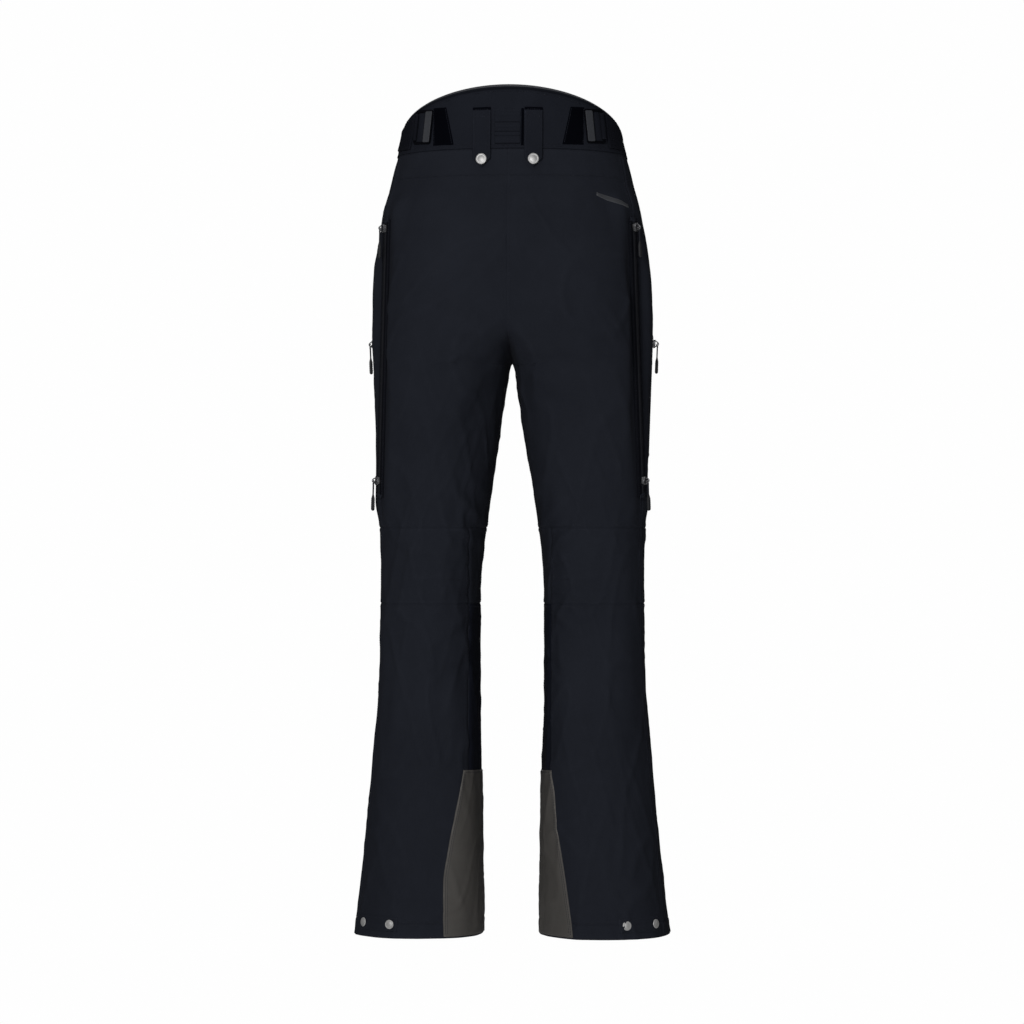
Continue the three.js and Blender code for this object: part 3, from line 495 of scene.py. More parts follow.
MAT = {
    "shell": fabric("shell_cloth", (0.0072, 0.0082, 0.0115), (0.0110, 0.0124, 0.0170), spec=0.035),
    # inner lower-leg panel: a darker stretch cloth, darkened further as painted shade where the inner leg turns away
    # from the light
    "stretch_and_shade": fabric("stretch_and_painted_shade_cloth", (0.0034, 0.0040, 0.0068), (0.0056, 0.0066, 0.0106), pitch=0.8, ribs=1.6, bump=0.14),
    "band": fabric("waistband_cloth", (0.0056, 0.0064, 0.0092), (0.0088, 0.0100, 0.0140), pitch=0.6),
    "bind": fabric("binding_cloth", (0.0270, 0.0275, 0.0310), (0.0400, 0.0410, 0.0450), pitch=0.9, ribs=2.2, bump=0.2),
    "lining": fabric("lining_cloth", (0.0090, 0.0098, 0.0120), (0.0165, 0.0175, 0.0205), pitch=0.9, twill=False, bump=0.12, sheen=0.01),
    "guard": fabric("guard_cloth", (0.0365, 0.0344, 0.0318), (0.0520, 0.0491, 0.0458), pitch=1.1, twill=False, bump=0.16, rough=(0.65, 0.85), spec=0.12),
    # near-black webbing, also used as painted shadow at the tops of the back tabs and beside the right tab
    "web_and_shade": fabric("webbing", (0.0004, 0.0005, 0.0012), (0.0010, 0.0012, 0.0024), pitch=1.0, ribs=1.8, bump=0.3, spec=0.012, sheen=0.0),
    "strap": fabric("strap_cloth", (0.0022, 0.0025, 0.0040), (0.0058, 0.0064, 0.0090), pitch=1.2, ribs=2.6, bump=0.5, spec=0.02),
    "tape": fabric("zip_tape", (0.0016, 0.0018, 0.0032), (0.0034, 0.0038, 0.0058), pitch=0.7, bump=0.06, rough=(0.6, 0.75), spec=0.03),
    # painted shade: near-black cloth laid where the waistband and the hang loop fall into shadow
    "shade_line": fabric("painted_shade_cloth", (0.0030, 0.0034, 0.0052), (0.0052, 0.0060, 0.0086), pitch=0.6),
    "thread": plain("thread", (0.0058, 0.0066, 0.0096), (0.0098, 0.0108, 0.0150), rough=(0.75, 0.9), spec=0.04),
    "snap": plain("snap_metal", (0.23, 0.228, 0.225), (0.36, 0.357, 0.353), rough=(0.40, 0.54), metal=0.45, scale=900, brushed=True),
    "slider": plain("slider_metal", (0.09, 0.09, 0.094), (0.17, 0.17, 0.178), rough=(0.3, 0.45), metal=0.9, scale=700),
    "buckle": plain("buckle_plastic", (0.0006, 0.0007, 0.0014), (0.0016, 0.0018, 0.0030), rough=(0.5, 0.65), spec=0.03, scale=500),
    "bar": plain("buckle_bar", (0.0200, 0.0215, 0.0252), (0.0310, 0.0330, 0.0380), rough=(0.45, 0.6), spec=0.2, scale=500),
    "grip": plain("pull_grip", (0.0070, 0.0072, 0.0085), (0.0150, 0.0155, 0.0175), rough=(0.5, 0.7), spec=0.2, scale=600, bump=0.05),
    "coil": plain("zip_coil", (0.0022, 0.0025, 0.0038), (0.0055, 0.0060, 0.0082), rough=(0.4, 0.55), spec=0.12, scale=900),
    "cord": fabric("pull_cord", (0.0060, 0.0066, 0.0090), (0.0140, 0.0150, 0.0190), pitch=1.3, bump=0.3),
    "strip": plain("reflective_strip", (0.024, 0.025, 0.028), (0.050, 0.052, 0.057), rough=(0.35, 0.5), metal=0.2, scale=1500, bump=0.03),
}


# ------------------------------------------------------------------ meshes
def new_object(name, verts, faces, mats, uv=None, face_mat=None, flat=False):
    me = bpy.data.meshes.new(name)
    me.from_pydata([tuple(v) for v in np.asarray(verts, float)], [], faces)
    if uv is not None:
        layer = me.uv_layers.new(name="mm")
        idx = np.zeros(len(me.loops), np.int64)
        me.loops.foreach_get("vertex_index", idx)
        layer.data.foreach_set("uv", np.asarray(uv, float)[idx].ravel())
    for k in mats:
        me.materials.append(MAT[k])
    if face_mat is not None:
        me.polygons.foreach_set("material_index", face_mat)
    me.polygons.foreach_set("use_smooth", [not flat] * len(me.polygons))
    me.update()
    o = bpy.data.objects.new(name, me)
    SC.collection.objects.link(o)
    return o


def modifiers(o, thick=None, bevel=None, sub=0, offset=-1.0, inner=0, rim=0, angle=35):
    if thick:
        s = o.modifiers.new("thick", "SOLIDIFY")
        s.thickness, s.offset, s.use_even_offset = thick / 1000, offset, False
        s.material_offset, s.material_offset_rim = inner, rim
    if bevel:
        b = o.modifiers.new("bevel", "BEVEL")
        b.width, b.segments, b.limit_method, b.angle_limit = bevel / 1000, 3, "ANGLE", R(angle)
        b.harden_normals = False
    if sub:
        s = o.modifiers.new("sub", "SUBSURF")
        s.levels = s.render_levels = sub
    return o


def sheet_uv(P):
    du = np.linalg.norm(np.diff(P, axis=0), axis=-1)
    dv = np.linalg.norm(np.diff(P, axis=1), axis=-1)
    u = np.concatenate([np.zeros((1, P.shape[1])), np.cumsum(du, 0)])
    u = u - u[len(u) // 2]
    v = np.concatenate([np.zeros((P.shape[0], 1)), np.cumsum(dv, 1)], 1)
    v = np.broadcast_to(v.mean(0), v.shape)
    return np.stack([u, v], -1)


def grid(name, P, mats, closed=False, thick=None, inner=0, rim=0, weld=False):
    """A sheet from an (n, k, 3) array of points in mm above the hem."""
    n, k = P.shape[:2]
    uv = sheet_uv(P).reshape(-1, 2)
    faces = []
    for i in range(n if closed else n - 1):
        for j in range(k - 1):
            a, b = i * k + j, ((i + 1) % n) * k + j
            faces.append((a, b, b + 1, a + 1))
    V = m(P.reshape(-1, 3))
    # faces look along the cloth's outward side
    o = new_object(name, V, faces, mats, uv)
    if weld:
        bm = bmesh.new()
        bm.from_mesh(o.data)
        bmesh.ops.remove_doubles(bm, verts=bm.verts, dist=2e-5)
        bm.to_mesh(o.data)
        bm.free()
    if thick:
        modifiers(o, thick=thick, inner=inner, rim=rim)
    return o


def flip(o):
    bm = bmesh.new()
    bm.from_mesh(o.data)
    bmesh.ops.reverse_faces(bm, faces=bm.faces)
    bm.to_mesh(o.data)
    bm.free()
    return o


def face_out(o, centre=None):
    """Turns the faces outward, judged by the way most of the area looks from the piece's axis."""
    me = o.data
    n = len(me.polygons)
    no, ce, ar = np.zeros(n * 3), np.zeros(n * 3), np.zeros(n)
    me.polygons.foreach_get("normal", no)
    me.polygons.foreach_get("center", ce)
    me.polygons.foreach_get("area", ar)
    no, ce = no.reshape(-1, 3), ce.reshape(-1, 3)
    c = np.array(centre if centre is not None else [0, 0, 0], float)
    d = ce - c
    d[:, 2] = 0
    if ((no * d).sum(1) * ar).sum() < 0:
        flip(o)
    return o


def dense(a, b, step, marks=(), near=(0.8, 2.0, 4.0)):
    """Positions from a to b about step apart, closer beside each mark."""
    pts = set(np.linspace(a, b, max(2, int(round((b - a) / step)) + 1)).round(4))
    keep = {round(a, 4), round(b, 4)}
    for mk in marks:
        for d in (0, *near):
            for s in (1, -1):
                v = round(mk + s * d, 4)
                if a <= v <= b:
                    keep.add(v)
    pts = {p for p in pts if all(abs(p - q) > 1.6 for q in keep)} | keep
    return np.array(sorted(pts))


def shell(side):
    tag = "left" if side > 0 else "right"
    STEP = 5.0
    rows_low = dense(0, CROTCH, STEP, (20, KNEE_LOW, KNEE_TOP))
    rows_mid = np.array([764, 765.5, 767.5, 770, 773, 777, 781])
    rows_up = dense(786, 985, STEP)
    zs = np.concatenate([rows_low, rows_mid, rows_up])
    top = np.concatenate([np.linspace(0.0, 1.0, 14)[1:]])
    half = 285.0
    ref = 380.0

    def seam_share(z, sgn):
        """Where the inner-leg seam lies, from 0 at the side seam to 1 at the inseam."""
        s, e = side_seam(z), section(z)[4]
        f = phi_at_x(inner_seam_x(z), z, sgn)
        return (f - s) / (e - s) if sgn > 0 else (s - f) / (e + s)

    c_back, c_front = float(seam_share(ref, 1)), float(seam_share(ref, -1))
    wb = dense(0, half, STEP * 1.02, (0, c_back * half, half), near=(0.8, 2.0, 4.0, 6.5)) / half
    wf = dense(0, half, STEP * 1.02, (0, c_front * half, half), near=(0.8, 2.0, 4.0, 6.5)) / half
    wb[np.argmin(abs(wb - c_back))] = c_back
    wf[np.argmin(abs(wf - c_front))] = c_front
    cols = np.concatenate([-wf[::-1][:-1], wb])  # -1 front end, 0 side seam, 1 back end

    def phis(z, wv):
        s, e = side_seam(z), section(z)[4]
        inside = smooth((z - 150) / 60) * smooth((640 - z) / 90)
        zc = np.clip(z, 200, 560)
        out = []
        for sgn, c in ((1, c_back), (-1, c_front)):
            t = c + (seam_share(zc, sgn) - c) * inside
            a = np.abs(wv)
            out.append(np.where(a <= c, a * t / c, t + (a - c) * (1 - t) / (1 - c)))
        return np.where(wv >= 0, s + (e - s) * out[0], s - (e + s) * out[1])

    Zg = np.repeat(zs[None, :], len(cols), 0)
    Wg = np.repeat(cols[:, None], len(zs), 1)
    PHI = phis(Zg, Wg)
    # the rows above follow the lower edge of the waistband
    Wt = np.repeat(cols[:, None], len(top), 1)
    zt = np.full_like(Wt, 985.0)
    for _ in range(4):
        f = phis(zt, Wt)
        zt = 985 + (band_low(f) + 2.0 - 985) * top[None, :]
    PHI, Zg = np.concatenate([PHI, phis(zt, Wt)], 1), np.concatenate([Zg, zt], 1)
    P = cloth(PHI, Zg, 0.0, side)
    # both halves end exactly on the middle
    edge = (np.abs(np.concatenate([Wg, Wt], 1)) > 0.999) & (Zg > CROTCH)
    P[..., 0] = np.where(edge, -0.12 * side, P[..., 0])
    low = Zg[0] <= CROTCH
    mid = (P[0] + P[-1]) / 2
    P[0][low], P[-1][low] = mid[low], mid[low]
    o = grid("shell_" + tag, P, ["shell", "lining", "stretch_and_shade", "lining"], weld=True)
    inner_face = np.array([q.center.x * side * 1000 < 55.0 for q in o.data.polygons])
    face_out(o, m([side * 100, 0, 500]))
    # the inner faces below the knee take the darker panel cloth: partly a real panel, partly painted shade
    z_lo, z_hi = m([0, 0, GUARD_TOP - 4])[2], m([0, 0, KNEE_LOW])[2]
    for q in o.data.polygons:
        if z_lo < q.center.z < z_hi and inner_face[q.index]:
            q.material_index = 2
    modifiers(o, thick=1.1, inner=1, rim=0)
    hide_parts(*[n + "_" + tag for n in ("back_panel", "front_panel", "knee_panel", "lower_leg_back", "lower_leg_front")])
    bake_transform(o)
    return o


# small stitches of thread, laid along lines of points with outward normals
class Thread:
    def __init__(self):
        self.v, self.f = [], []

    def run(self, P, N, pitch=3.3, length=2.35, wide=0.34, high=0.30):
        P = np.asarray(P, float)
        seg = np.linalg.norm(np.diff(P, axis=0), axis=1)
        s = np.concatenate([[0], np.cumsum(seg)])
        if s[-1] < length:
            return
        n = int(s[-1] / pitch)
        mid = (np.arange(n) + 0.5) * s[-1] / n

        def at(q):
            return np.stack([np.interp(q, s, P[:, k]) for k in range(3)], -1)

        c, a, b = at(mid), at(mid - length / 2), at(mid + length / 2)
        nn = unit(np.stack([np.interp(mid, s, N[:, k]) for k in range(3)], -1))
        t = unit(b - a)
        side = unit(np.cross(t, nn))
        base = len(self.v) and sum(len(x) for x in self.v) or 0
        sink = 0.12
        ring = []
        for q, hw, hh in ((a, 0.35, 0.05), (a + (c - a) * 0.35, 1, 0.8), (c, 1.1, 1.0), (b + (c - b) * 0.35, 1, 0.8), (b, 0.35, 0.05)):
            low = q - nn * sink
            ring.append([low + side * wide * hw, q + nn * high * hh + side * wide * hw * 0.45, q + nn * high * hh - side * wide * hw * 0.45, low - side * wide * hw])
        V = np.stack([np.stack(r, 1) for r in ring], 1)  # n, 5, 4, 3
        self.v.append(V.reshape(-1, 3))
        for i in range(n):
            o = base + i * 20
            for j in range(4):
                for k in range(4):
                    a0, a1 = o + j * 4 + k, o + j * 4 + (k + 1) % 4
                    self.f.append((a0, a1, a1 + 4, a0 + 4))
            self.f.append((o + 3, o + 2, o + 1, o))
            self.f.append((o + 16, o + 17, o + 18, o + 19))

    def line(self, phi, z, side=1, lift=0.0, **k):
        """Along the draped cloth of one half."""
        phi, z = np.broadcast_arrays(np.asarray(phi, float), np.asarray(z, float))
        P = cloth(phi, z, lift, side)
        N = normal(phi, z) * np.array([side, 1, 1])
        self.run(P, N, **k)

    def make(self, name):
        o = new_object(name, m(np.concatenate(self.v)), self.f, ["thread"])
        bm = bmesh.new()
        bm.from_mesh(o.data)
        bmesh.ops.recalc_face_normals(bm, faces=bm.faces)
        bm.to_mesh(o.data)
        bm.free()
        return o


def radius(phi, z):
    return np.linalg.norm(raw(phi + 0.01, z) - raw(phi - 0.01, z), axis=-1) / 0.02


def leg_stitching(side):
    tag = "left" if side > 0 else "right"
    t = Thread()
    z = np.arange(4, 1040, 2.0)
    for d in (-4.2, 4.2):
        for lo, hi in ((4, 588), (955, 1040)):
            zz = z[(z >= lo) & (z <= hi)]
            t.line(side_seam(zz) + d / radius(side_seam(zz), zz), zz, side)
    zz = z[(z < 750) & (z > 4)]
    for s in (1, -1):
        keep = zz[zz > GUARD_TOP + 4]
        t.line(s * (math.pi - 4.2 / radius(math.pi, keep)), keep, side)
    a = np.radians(np.arange(-179.5, 180, 0.9))
    for z0 in (KNEE_TOP + 4, KNEE_LOW - 4, 18.4, 21.8):
        t.line(a, np.full_like(a, z0), side)
    for s in (1, -1):
        zz = z[(z > 222) & (z < KNEE_TOP - 3)]
        t.line(phi_at_x(inner_seam_x(zz) + 4.2, zz, s), zz, side)
        zz = z[(z > 790) & (z < (1012 if s > 0 else 880))]
        t.line(phi_at_x(0 * zz + 4.2, zz, s), zz, side)
    for z0 in (494, 470, 453):
        x = np.arange(56, 83, 1.0)
        zz = z0 + 0.15 * (x - 55) + 2.6
        t.line(phi_at_x(x, zz, 1), zz, side)
    o = t.make("leg_stitching_" + tag)
    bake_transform(o)
    t = Thread()
    x = np.concatenate([np.arange(3, 157, 1.5)])
    for z0 in (YOKE - 4, YOKE - 7.5):
        f = phi_at_x(x, z0, 1)
        keep = f > side_seam(z0) + 0.06
        t.line(f[keep], np.full(keep.sum(), float(z0)), side)
    o = t.make("yoke_stitching_" + tag)
    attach(o, "garment")


def overlay(name, phi, z, side, lift, thick, mats, body, nodes=(), edge=1.2, ends=(True, True, True, True)):
    """A patch of cloth laid on the draped shell. phi and z are (n, k) arrays; its rim is folded down to the cloth."""
    n, k = phi.shape
    P0 = cloth(phi, z, 0.0, side)
    du = np.linalg.norm(np.diff(P0, axis=0), axis=-1).mean()
    dv = np.linalg.norm(np.diff(P0, axis=1), axis=-1).mean()
    i, j = np.meshgrid(np.arange(n), np.arange(k), indexing="ij")
    d = np.full((n, k), 1e9)
    for use, q in zip(ends, (i * du, (n - 1 - i) * du, j * dv, (k - 1 - j) * dv)):
        if use:
            d = np.minimum(d, q)
    rise = 1 - np.exp(-((d / edge) ** 1.2))
    P = cloth(phi, z, 0.12 + (lift - 0.12) * rise, side)
    o = grid(name, P, mats)
    face_out(o, m([side * 111, 0, 500]))
    modifiers(o, thick=thick)
    if nodes:
        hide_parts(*nodes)
    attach(o, body)
    return o


GUARD_EDGE = {
    1: curve([[0, 86.3], [30, 86.8], [71, 86.6], [117, 80.9], [181, 70.1], [222, 62.6]]),
    -1: curve([[0, 87.4], [71, 77.5], [117, 70.3], [181, 62.8], [222, 59.5]]),
}


def guards(side):
    """Grey cloth over the inner ankle, reaching from its back edge round the inside to its front edge."""
    tag = "left" if side > 0 else "right"
    n, k = 56, 60
    u, v = np.meshgrid(np.linspace(0, 1, n), np.linspace(0, 1, k), indexing="ij")
    z = 2 + (GUARD_TOP - 2 - 3 * (1 - np.abs(2 * u - 1))) * v

    def angles(z, s):
        return phi_at_x(GUARD_EDGE[side](z), z, s)

    e, g = angles(z, 1), 2 * math.pi + angles(z, -1)
    phi = e + (g - e) * u
    phi = np.where(phi > math.pi, phi - 2 * math.pi, phi)
    overlay("scuff_guard_cloth_" + tag, phi, z, side, 1.25, 0.9, ["guard"], "shin_" + tag, ["scuff_guard_" + tag], edge=1.3, ends=(True, True, False, True))
    t = Thread()
    zz = np.arange(5, GUARD_TOP - 4, 2.0)
    for off in (2.6, 5.2):
        for s in (1, -1):
            ee = angles(zz, s)
            t.line(ee + s * off / radius(ee, zz), zz, side, lift=1.2)
    e0, g0 = float(angles(GUARD_TOP - 3.5, 1)) + 0.05, 2 * math.pi + float(angles(GUARD_TOP - 3.5, -1)) - 0.05
    f = np.linspace(e0, g0, 90)
    zt = GUARD_TOP - 3 * (1 - np.abs(2 * np.linspace(0, 1, 90) - 1)) - 3.0
    t.line(np.where(f > math.pi, f - 2 * math.pi, f), zt, side, lift=1.2)
    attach(t.make("guard_stitching_" + tag), "shin_" + tag)


def snap_cap(name, o0, n, r, body, seed=0):
    """A press-stud cap: domed disc with a rolled rim and a shallow ring, on a flange."""
    prof = [(1.0, 0.0), (1.02, 0.5), (0.97, 1.0), (0.88, 1.28), (0.80, 1.22), (0.74, 1.12), (0.66, 1.22), (0.48, 1.52), (0.28, 1.72), (0.10, 1.80)]
    seg = 40
    n = unit(np.asarray(n, float))
    a = unit(np.cross(n, [0.2, 0.1, 1]))
    b = np.cross(n, a)
    V, F = [], []
    for pr, ph in prof:
        for i in range(seg):
            t = 2 * math.pi * i / seg
            V.append(o0 + (a * math.cos(t) + b * math.sin(t)) * r * pr + n * ph)
    V.append(o0 + n * 1.82)
    for j in range(len(prof) - 1):
        for i in range(seg):
            k = (i + 1) % seg
            F.append((j * seg + i, j * seg + k, (j + 1) * seg + k, (j + 1) * seg + i))
    last = (len(prof) - 1) * seg
    for i in range(seg):
        F.append((last + i, last + (i + 1) % seg, len(V) - 1))
    F.append(tuple(range(seg - 1, -1, -1)))
    o = new_object(name, m(np.array(V)), F, ["snap"])
    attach(o, body)
    return o


def hem_snaps(side):
    tag = "left" if side > 0 else "right"
    u, v = np.meshgrid(np.linspace(0, 1, 40), np.linspace(0, 1, 16), indexing="ij")
    phi, z = np.radians(31 + 44 * u), 9 + 19 * v
    overlay("hem_patch_" + tag, phi, z, side, 1.0, 0.7, ["shell"], "shin_" + tag, ["hem_snap_patch_" + tag], edge=1.0)
    for i, deg in enumerate((38, 68)):
        f = R(deg)
        p = cloth(f, 18.5, 1.1, side)
        nn = normal(f, 18.5) * np.array([side, 1, 1])
        snap_cap(f"hem_snap_{'ab'[i]}_{tag}", p, nn, 6.0, "shin_" + tag)
    t = Thread()
    for z0 in (11.2, 25.8):
        f = np.radians(np.arange(33, 73.5, 0.8))
        t.line(f, np.full_like(f, z0), side, lift=1.0)
    for deg in (33, 73):
        zz = np.arange(11.2, 26, 0.7)
        t.line(np.full_like(zz, R(deg)), zz, side, lift=1.0)
    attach(t.make("hem_patch_stitching_" + tag), "shin_" + tag)


def snow_cuff(side):
    tag = "left" if side > 0 else "right"
    n, k = 120, 40
    phi = np.linspace(-math.pi, math.pi, n, endpoint=False)[:, None]
    v = np.linspace(0, 1, k)[None, :]
    z = CUFF_TOP + (CUFF_LOW - CUFF_TOP) * v + 0 * phi
    phi = phi + 0 * v
    cx, a, cy, b, _ = section(z)
    p = point(phi, z) + normal(phi, z) * -4.0
    kk = 1 - 0.26 * smooth(v * 1.15) + 0 * phi
    # gathered by the elastic: deeper and finer flutes near the gripper edge
    ripple = (0.4 + 2.2 * smooth(v * 1.1)) * np.sin(26 * phi + 2 * noise(phi * 2, v * 3, side * 5.0, 8)) + 0.9 * noise(np.cos(phi) * 6, np.sin(phi) * 6, z / 18, 9)
    c = np.stack([cx, cy + 2, z], -1)
    d = p - c
    d[..., 2] = 0
    l = np.linalg.norm(d, axis=-1)
    P = c + d * ((l * kk + ripple - 1.5 * smooth(v * 1.2)) / l)[..., None]
    P = P * np.array([side, 1, 1])
    o = grid("snow_cuff_cloth_" + tag, P, ["lining", "web_and_shade"], closed=True)
    face_out(o, m([side * 120, 5, 100]))
    mi = [1 if (i % (k - 1)) >= k - 7 else 0 for i in range(len(o.data.polygons))]
    o.data.polygons.foreach_set("material_index", mi)
    modifiers(o, thick=0.9)
    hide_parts("snow_cuff_" + tag)
    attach(o, "shin_" + tag)


# ------------------------------------------------------------------ waist
def waistband():
    f0 = -math.pi / 2 + 0.005
    f = np.linspace(f0, f0 + 2 * math.pi - 0.010, 420)
    lo, hi = band_low(f) + 0.25, band_top(f)
    # profile: up the outer face, over the rolled top, down the lining
    prof = [(0.0, -0.6), (0.0, 0.8), (0.012, 1.4)]
    prof += [(v, 1.4) for v in np.linspace(0.04, 0.86, 20)] + [(v, 1.4) for v in (0.885, 0.905, 0.92, 0.932, 0.943)]
    prof += [(0.965, 1.4), (0.988, 1.1), (1.0, 0.3), (1.0, -0.8), (0.986, -1.5), (0.96, -1.8)]
    prof += [(v, -1.8) for v in np.linspace(0.9, 0.05, 10)] + [(0.0, -1.7), (0.0, -0.6)]
    P = np.zeros((len(f), len(prof), 3))
    for j, (v, lift) in enumerate(prof):
        z = lo + (hi - lo) * v
        d_top, d_low = (hi - z), (z - lo)
        extra = np.zeros_like(f)
        if lift > 0.7:
            sw = smooth(np.minimum(d_top, d_low) / 12)
            extra = 0.45 * noise(f * 9, z / 30, 0, 60) + 0.3 * noise(f * 22, z / 14, 0, 61)
            extra = extra * sw - 1.1 * np.exp(-((d_top - 7.0) / 1.6) ** 2) + 0.5 * smooth((5.6 - d_top) / 2) - 0.35 * np.exp(-((d_low - 3.5) / 1.2) ** 2)
            extra = extra - 0.35 * np.exp(-((d_top - 22) / 1.2) ** 2) * (np.sin(f) > 0.1)
            for fs in (R(19.8), math.pi - R(19.8)):
                extra = extra + groove((f - fs) * 150, 0.8, 0.3)
            extra = extra + 0.18 * noise(f * 60, d_top / 9, 0, 62) * np.exp(-((np.minimum(d_top - 7.5, d_low - 3.5)) / 6) ** 2)
        P[:, j] = trunk(f, z, lift + extra)
    o = grid("waistband_cloth", P, ["band", "lining", "bind", "shade_line"])
    k = len(prof) - 1
    mi = []
    for i in range(len(f) - 1):
        for j in range(k):
            v, lift = prof[j]
            vn = prof[j + 1][0]
            # painted shade: a near-black line just under the rolled top and a near-black strip along the lower edge,
            # standing in for the shadow in the groove and under the band
            mi.append(2 if (v >= 0.957 and (lift > -1.2)) else (1 if j > 33 else (3 if (0.918 <= v < 0.957 or v < 0.011) else 0)))
    o.data.polygons.foreach_set("material_index", mi)
    # close the two ends at the middle of the front
    bm = bmesh.new()
    bm.from_mesh(o.data)
    bmesh.ops.remove_doubles(bm, verts=bm.verts, dist=2e-6)
    edges = [e for e in bm.edges if e.is_boundary]
    bmesh.ops.holes_fill(bm, edges=edges, sides=0)
    bmesh.ops.recalc_face_normals(bm, faces=bm.faces)
    bm.to_mesh(o.data)
    bm.free()
    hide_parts("waistband_back", "waistband_front_left", "waistband_front_right", "back_yoke")
    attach(o, "garment")
    t = Thread()
    g = np.linspace(f0 + 0.02, f0 + 2 * math.pi - 0.03, 900)
    for off, top in ((9.2, True), (3.5, False), (6.5, False)):
        z = band_top(g) - off if top else band_low(g) + 0.25 + off
        P = trunk(g, z, np.full_like(g, BAND_OUT - (0.3 if off == 3.5 else 0.0)))
        t.run(P, unit(trunk(g, z, np.full_like(g, 5.0)) - trunk(g, z, np.full_like(g, 0.0))))
    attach(t.make("waistband_stitching"), "garment")


def patch_x(name, xs, zs, side, lift, thick, mats, body, nodes=(), edge=1.0, bulge=None, replace=True):
    """A patch on the waistband. xs, zs are (n, k) arrays; side is +1 at the back."""
    n, k = xs.shape
    P0 = trunk_x(xs, zs, side, np.zeros(xs.shape))
    du = np.linalg.norm(np.diff(P0, axis=0), axis=-1).mean()
    dv = np.linalg.norm(np.diff(P0, axis=1), axis=-1).mean()
    i, j = np.meshgrid(np.arange(n), np.arange(k), indexing="ij")
    d = np.minimum(np.minimum(i * du, (n - 1 - i) * du), np.minimum(j * dv, (k - 1 - j) * dv))
    L = BAND_OUT + 0.15 + (lift - 0.15) * (1 - np.exp(-((d / edge) ** 1.2)))
    if bulge is not None:
        L = L + bulge
    o = grid(name, trunk_x(xs, zs, side, L), mats)
    face_out(o, m([0, 0, 1080]))
    modifiers(o, thick=thick)
    if nodes:
        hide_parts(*nodes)
    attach(o, body)
    return o


def lattice(x0, x1, z0, z1, n, k):
    return np.meshgrid(np.linspace(x0, x1, n), np.linspace(z0, z1, k), indexing="ij")


def frame_on(A, B, n0):
    up = unit(A - B)
    n = unit(n0 - up * (n0 @ up))
    return dict(o=np.array(A, float), up=up, n=n, b=np.cross(n, up), length=float(np.linalg.norm(A - B)))


def mirror_frame(f):
    M = np.array([-1, 1, 1.0])
    up, n = f["up"] * M, f["n"] * M
    return dict(o=f["o"] * M, up=up, n=n, b=np.cross(n, up), length=f["length"])


def local(f, pts):
    """Points given as (across, outward, up) in a frame, to mm above the hem."""
    pts = np.asarray(pts, float)
    return f["o"] + pts[..., 0:1] * f["b"] + pts[..., 1:2] * f["n"] + pts[..., 2:3] * f["up"]


def in_frame(name, f, verts, faces, mats, body, nodes=(), uv=None, bevel=None, sub=0, thick=None, face_mat=None, flat=False, angle=35):
    o = new_object(name, m(local(f, verts)), faces, mats, uv=uv, face_mat=face_mat, flat=flat)
    bm = bmesh.new()
    bm.from_mesh(o.data)
    bmesh.ops.recalc_face_normals(bm, faces=bm.faces)
    bm.to_mesh(o.data)
    bm.free()
    modifiers(o, thick=thick, bevel=bevel, sub=sub, angle=angle)
    if nodes:
        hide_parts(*nodes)
    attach(o, body)
    return o


def prism(outline, y0, y1):
    """Side walls and two caps of an outline in (across, up), between two outward heights."""
    n = len(outline)
    V = [(x, y0, z) for x, z in outline] + [(x, y1, z) for x, z in outline]
    F = [(i, (i + 1) % n, n + (i + 1) % n, n + i) for i in range(n)] + [tuple(range(n))[::-1], tuple(range(n, 2 * n))]
    return V, F


def tube(path, r, seg=10, caps=True, flatten=None):
    """A round tube along points given in any frame's local axes."""
    P = np.asarray(path, float)
    T = unit(np.gradient(P, axis=0))
    ref = np.array([1.0, 0, 0]) if abs(T[0][0]) < 0.9 else np.array([0, 1.0, 0])
    V, F, UV = [], [], []
    s = np.concatenate([[0], np.cumsum(np.linalg.norm(np.diff(P, axis=0), axis=1))])
    a = unit(np.cross(T[0], ref))
    for i in range(len(P)):
        a = unit(a - T[i] * (a @ T[i]))
        b = np.cross(T[i], a)
        rr = r if np.isscalar(r) else r[i]
        for k in range(seg):
            t = 2 * math.pi * k / seg
            V.append(P[i] + (a * math.cos(t) + b * math.sin(t)) * rr)
            UV.append((t * rr, s[i]))
    for i in range(len(P) - 1):
        for k in range(seg):
            q = (k + 1) % seg
            F.append((i * seg + k, i * seg + q, (i + 1) * seg + q, (i + 1) * seg + k))
    if caps:
        F.append(tuple(range(seg))[::-1])
        F.append(tuple((len(P) - 1) * seg + k for k in range(seg)))
    return V, F, UV


def torus(centre, axis_a, axis_b, r, wire, seg=28, ring=10):
    V, F = [], []
    c, A, B = np.array(centre, float), np.array(axis_a, float), np.array(axis_b, float)
    N = np.cross(A, B)
    for i in range(seg):
        t = 2 * math.pi * i / seg
        d = A * math.cos(t) + B * math.sin(t)
        for k in range(ring):
            q = 2 * math.pi * k / ring
            V.append(c + d * (r + wire * math.cos(q)) + N * wire * math.sin(q))
    for i in range(seg):
        for k in range(ring):
            i2, k2 = (i + 1) % seg, (k + 1) % ring
            F.append((i * ring + k, i2 * ring + k, i2 * ring + k2, i * ring + k2))
    return V, F


def merge(parts):
    V, F, base = [], [], 0
    for v, f in parts:
        V += [tuple(p) for p in v]
        F += [tuple(i + base for i in q) for q in f]
        base += len(v)
    return V, F


